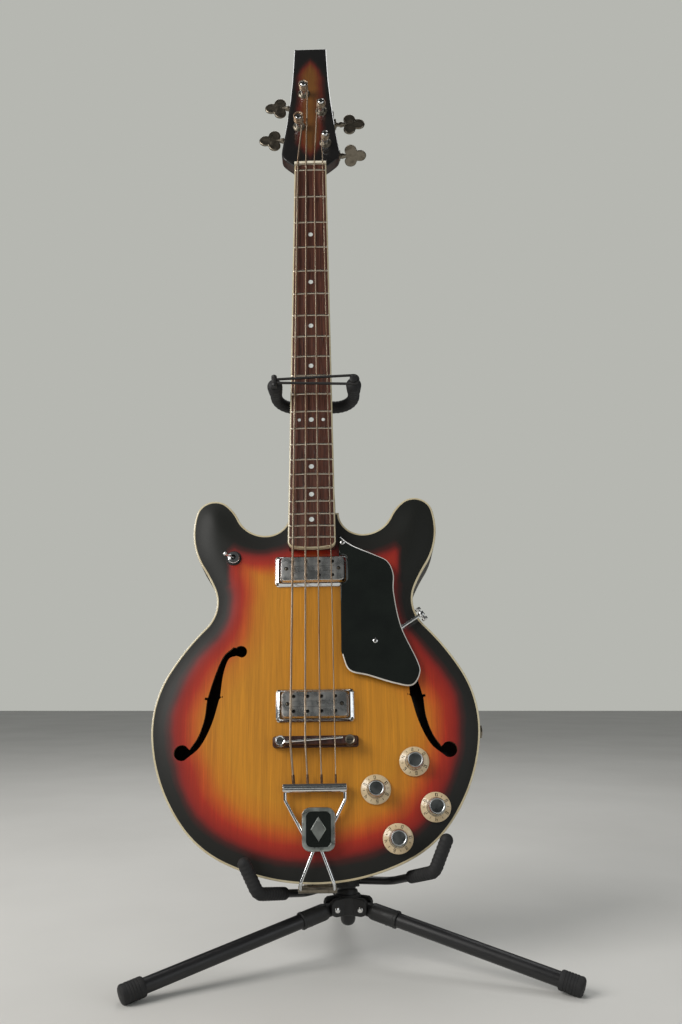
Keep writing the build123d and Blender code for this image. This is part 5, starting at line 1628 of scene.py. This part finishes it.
def make_yoke(m):
    level = -335.0
    left_x, right_x, bar_z, pin_z = -44.0, 52.5, -38.0, 19.6
    path = [(left_x, level, 8.0), (left_x, level, bar_z), (right_x, level, bar_z), (right_x, level, 8.0)]
    line = rounded_path(path, (24.0, 24.0), 14)
    bm = bmesh.new()
    fine = resample(line, 1.2)
    count = len(fine)
    radii = []
    for k in range(count):
        near = min(k, count - 1 - k) * 1.2
        swell = 2.0 * max(0.0, 1 - near / 16.0) ** 0.7
        radii.append(7.3 + 0.18 * math.sin(k * 1.5) + swell)
    ends = []
    for point, ahead in ((fine[0], Vector((0, 0, 1))), (fine[-1], Vector((0, 0, 1)))):
        ends.append([point + ahead * 9.4 * math.sin(math.pi / 2 * k / 7) * 0.8 for k in range(1, 8)])
    tips = [max(0.15, 9.4 * math.cos(math.pi / 2 * k / 7)) for k in range(1, 8)]
    tube(bm, list(reversed(ends[0])) + fine + ends[1], list(reversed(tips)) + radii + tips, 32)
    piece("yoke_sleeve", bm, GUITAR, m["rubber"], "yoke", ["yoke_pads"], 60)

    bm = bmesh.new()
    block = rounded_rect(14.0, 16.0, 2.5, 4, (3.6, level))
    levels = ((1.0, bar_z - 35.0), (0.0, bar_z - 34.0), (0.0, bar_z - 2.0), (1.0, bar_z - 1.0))
    rows = inset_rows(bm, block, levels)
    skin(bm, rows, True)
    for side in (-1, 1):
        ear = [(-3.3, -1.6), (3.3, -1.6), (3.3, 5.8), (2.4, 7.9), (0.0, 8.8), (-2.4, 7.9), (-3.3, 5.8)]
        at = Matrix.Translation((left_x, level + side * 5.5, 13.6)) @ turned("X", 90)
        slab(bm, ear, -1.5, 1.5, at)
    box(bm, (6.6, 14.0, 3.0), (left_x, level, 13.4))
    pin = Matrix.Translation((left_x, level, pin_z)) @ turned("X", 90)
    lathe(bm, [(0, -7.9), (1.9, -7.9), (2.2, -7.5), (2.2, -7.0), (1.5, -7.0), (1.5, 7.0), (2.2, 7.0), (2.2, 7.5),
               (1.9, 7.9), (0, 7.9)], (0, 0, 0), 24, pin)
    lathe(bm, [(4.2, 6.0), (4.2, 20.8), (4.9, 21.4), (4.9, 21.9), (4.3, 22.2), (0, 22.3)], (right_x, level, 0), 32)
    piece("yoke_block", bm, GUITAR, m["moulded"], "yoke", ["yoke_frame"], 32)
    bm = bmesh.new()
    lathe(bm, [(8.06, 600.0), (11.2, 600.0), (12.0, 600.8), (12.0, 641.8), (10.8, 643.0), (0, 643.0)], (0, 0, 0), 44)
    piece("yoke_socket", bm, COLUMN, m["moulded"], "yoke", ["yoke_frame"], 32)

    bm = bmesh.new()
    z = pin_z
    loop = []
    for side, near, far in ((-1, 2.4, 5.95), (1, 2.4, 5.95)):
        strand = [Vector((left_x + 3.4 + (right_x - left_x - 3.4) * s, level + side * (near + (far - near) * s), z))
                  for s in np.linspace(0, 1, 14)]
        loop.append(strand)
    turn = [Vector((right_x + 5.95 * math.cos(a), level + 5.95 * math.sin(a), z))
            for a in np.linspace(-math.pi / 2, math.pi / 2, 18)]
    path = loop[0] + turn[1:-1] + list(reversed(loop[1]))
    flat_band(bm, path, 1.15, 1.35)
    lathe(bm, [(1.6, -3.7), (2.8, -3.7), (3.0, -3.4), (3.0, 3.4), (2.8, 3.7), (1.6, 3.7)], (0, 0, 0), 28,
          Matrix.Translation((left_x, level, pin_z)) @ turned("X", 90))
    piece("neck_band", bm, GUITAR, m["band"], "band", ["retaining_band"], 40)


def flat_band(bm, path, half_width, half_height):
    """Rounded flat strip swept along a path that lies level in its frame."""
    rows = []
    for index, point in enumerate(path):
        before = path[max(0, index - 1)]
        after = path[min(len(path) - 1, index + 1)]
        tangent = (after - before).normalized()
        side = Vector((-tangent.y, tangent.x, 0)).normalized()
        section = rounded_rect(2 * half_width, 2 * half_height, 0.5, 3)
        rows.append(ring(bm, [point + side * u + Vector((0, 0, v)) for u, v in section]))
    skin(bm, rows, True)


# ---- setting: floor, light and camera ----------------------------------------------------------------
def make_stage():
    shader = Shader("studio_floor", (0.62, 0.61, 0.585), 0.55)
    place = shader.place()
    cloud = shader.noise(place, 2.2, 4.0)
    shader.color(shader.mix(shader.spread(cloud, 0.3, 0.7), (0.60, 0.59, 0.565), (0.66, 0.65, 0.625)))
    shader.bump(shader.noise(place, 160.0, 3.0), 0.0004, 0.15)
    mesh = bpy.data.meshes.new("floor")
    bm = bmesh.new()
    corners = [(-6, -5, 0), (6, -5, 0), (6, 8, 0), (-6, 8, 0)]
    bm.faces.new([bm.verts.new(corner) for corner in corners])
    bm.to_mesh(mesh)
    bm.free()
    mesh.materials.append(shader.material)
    floor = bpy.data.objects.new("floor", mesh)
    bpy.context.scene.collection.objects.link(floor)

    world = bpy.data.worlds.new("studio")
    bpy.context.scene.world = world
    world.use_nodes = True
    nodes, links = world.node_tree.nodes, world.node_tree.links
    ambient = nodes["Background"]
    ambient.inputs["Color"].default_value = (0.80, 0.82, 0.80, 1.0)
    backdrop = nodes.new("ShaderNodeBackground")
    backdrop.inputs["Color"].default_value = (0.468, 0.474, 0.440, 1.0)
    seen = nodes.new("ShaderNodeLightPath")
    dimmer = nodes.new("ShaderNodeMath")
    dimmer.operation = "MULTIPLY_ADD"
    dimmer.inputs[1].default_value = -0.34
    dimmer.inputs[2].default_value = 0.42
    links.new(seen.outputs["Is Glossy Ray"], dimmer.inputs[0])
    links.new(dimmer.outputs[0], ambient.inputs["Strength"])
    choice = nodes.new("ShaderNodeMixShader")
    links.new(seen.outputs["Is Camera Ray"], choice.inputs[0])
    links.new(ambient.outputs[0], choice.inputs[1])
    links.new(backdrop.outputs[0], choice.inputs[2])
    links.new(choice.outputs[0], nodes["World Output"].inputs["Surface"])
    bpy.context.scene.view_settings.view_transform = "Standard"

    def area(name, location, target, width, height, power, color):
        data = bpy.data.lights.new(name, "AREA")
        data.shape = "RECTANGLE"
        data.size = width
        data.size_y = height
        data.energy = power
        data.color = color
        lamp = bpy.data.objects.new(name, data)
        lamp.location = location
        lamp.rotation_euler = (Vector(target) - Vector(location)).to_track_quat("-Z", "Y").to_euler()
        bpy.context.scene.collection.objects.link(lamp)

    area("key_left", (-1.9, -1.1, 1.75), (0, 0, 0.6), 1.4, 1.4, 50.0, (1.0, 0.98, 0.95))
    area("fill_right", (1.9, -1.6, 1.1), (0, 0, 0.55), 1.6, 1.6, 10.0, (0.95, 0.98, 1.0))
    area("top_soft", (0.1, 1.0, 2.4), (0, 0, 0.3), 1.6, 1.2, 16.0, (1.0, 1.0, 1.0))

    data = bpy.data.cameras.new("camera")
    data.lens = 28.37
    data.sensor_width = 36.0
    data.shift_y = 0.167
    data.clip_start = 0.02
    camera = bpy.data.objects.new("camera", data)
    camera.location = (-0.0134, -0.9713, 0.309)
    camera.rotation_euler = (math.radians(90), 0, 0)
    bpy.context.scene.collection.objects.link(camera)
    bpy.context.scene.camera = camera


def paint_frame_nodes(m):
    """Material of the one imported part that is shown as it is, the centre block."""
    thing = frame["nodes"]["centre_block"]
    for slot in thing.material_slots:
        slot.material = m["inner"]
    if not thing.material_slots:
        thing.data.materials.append(m["inner"])


def main():
    m = make_materials()
    make_top(m)
    make_shell(m)
    make_head(m)
    make_board(m)
    make_nut(m)
    make_strings(m)
    make_tuners(m)
    make_pickups(m)
    make_guard(m)
    make_bridge(m)
    make_tailpiece(m)
    make_knobs(m)
    make_switch_and_jack(m)
    make_legs(m)
    make_hub(m)
    make_column(m)
    make_cradle(m)
    make_yoke(m)
    paint_frame_nodes(m)
    make_stage()


main()
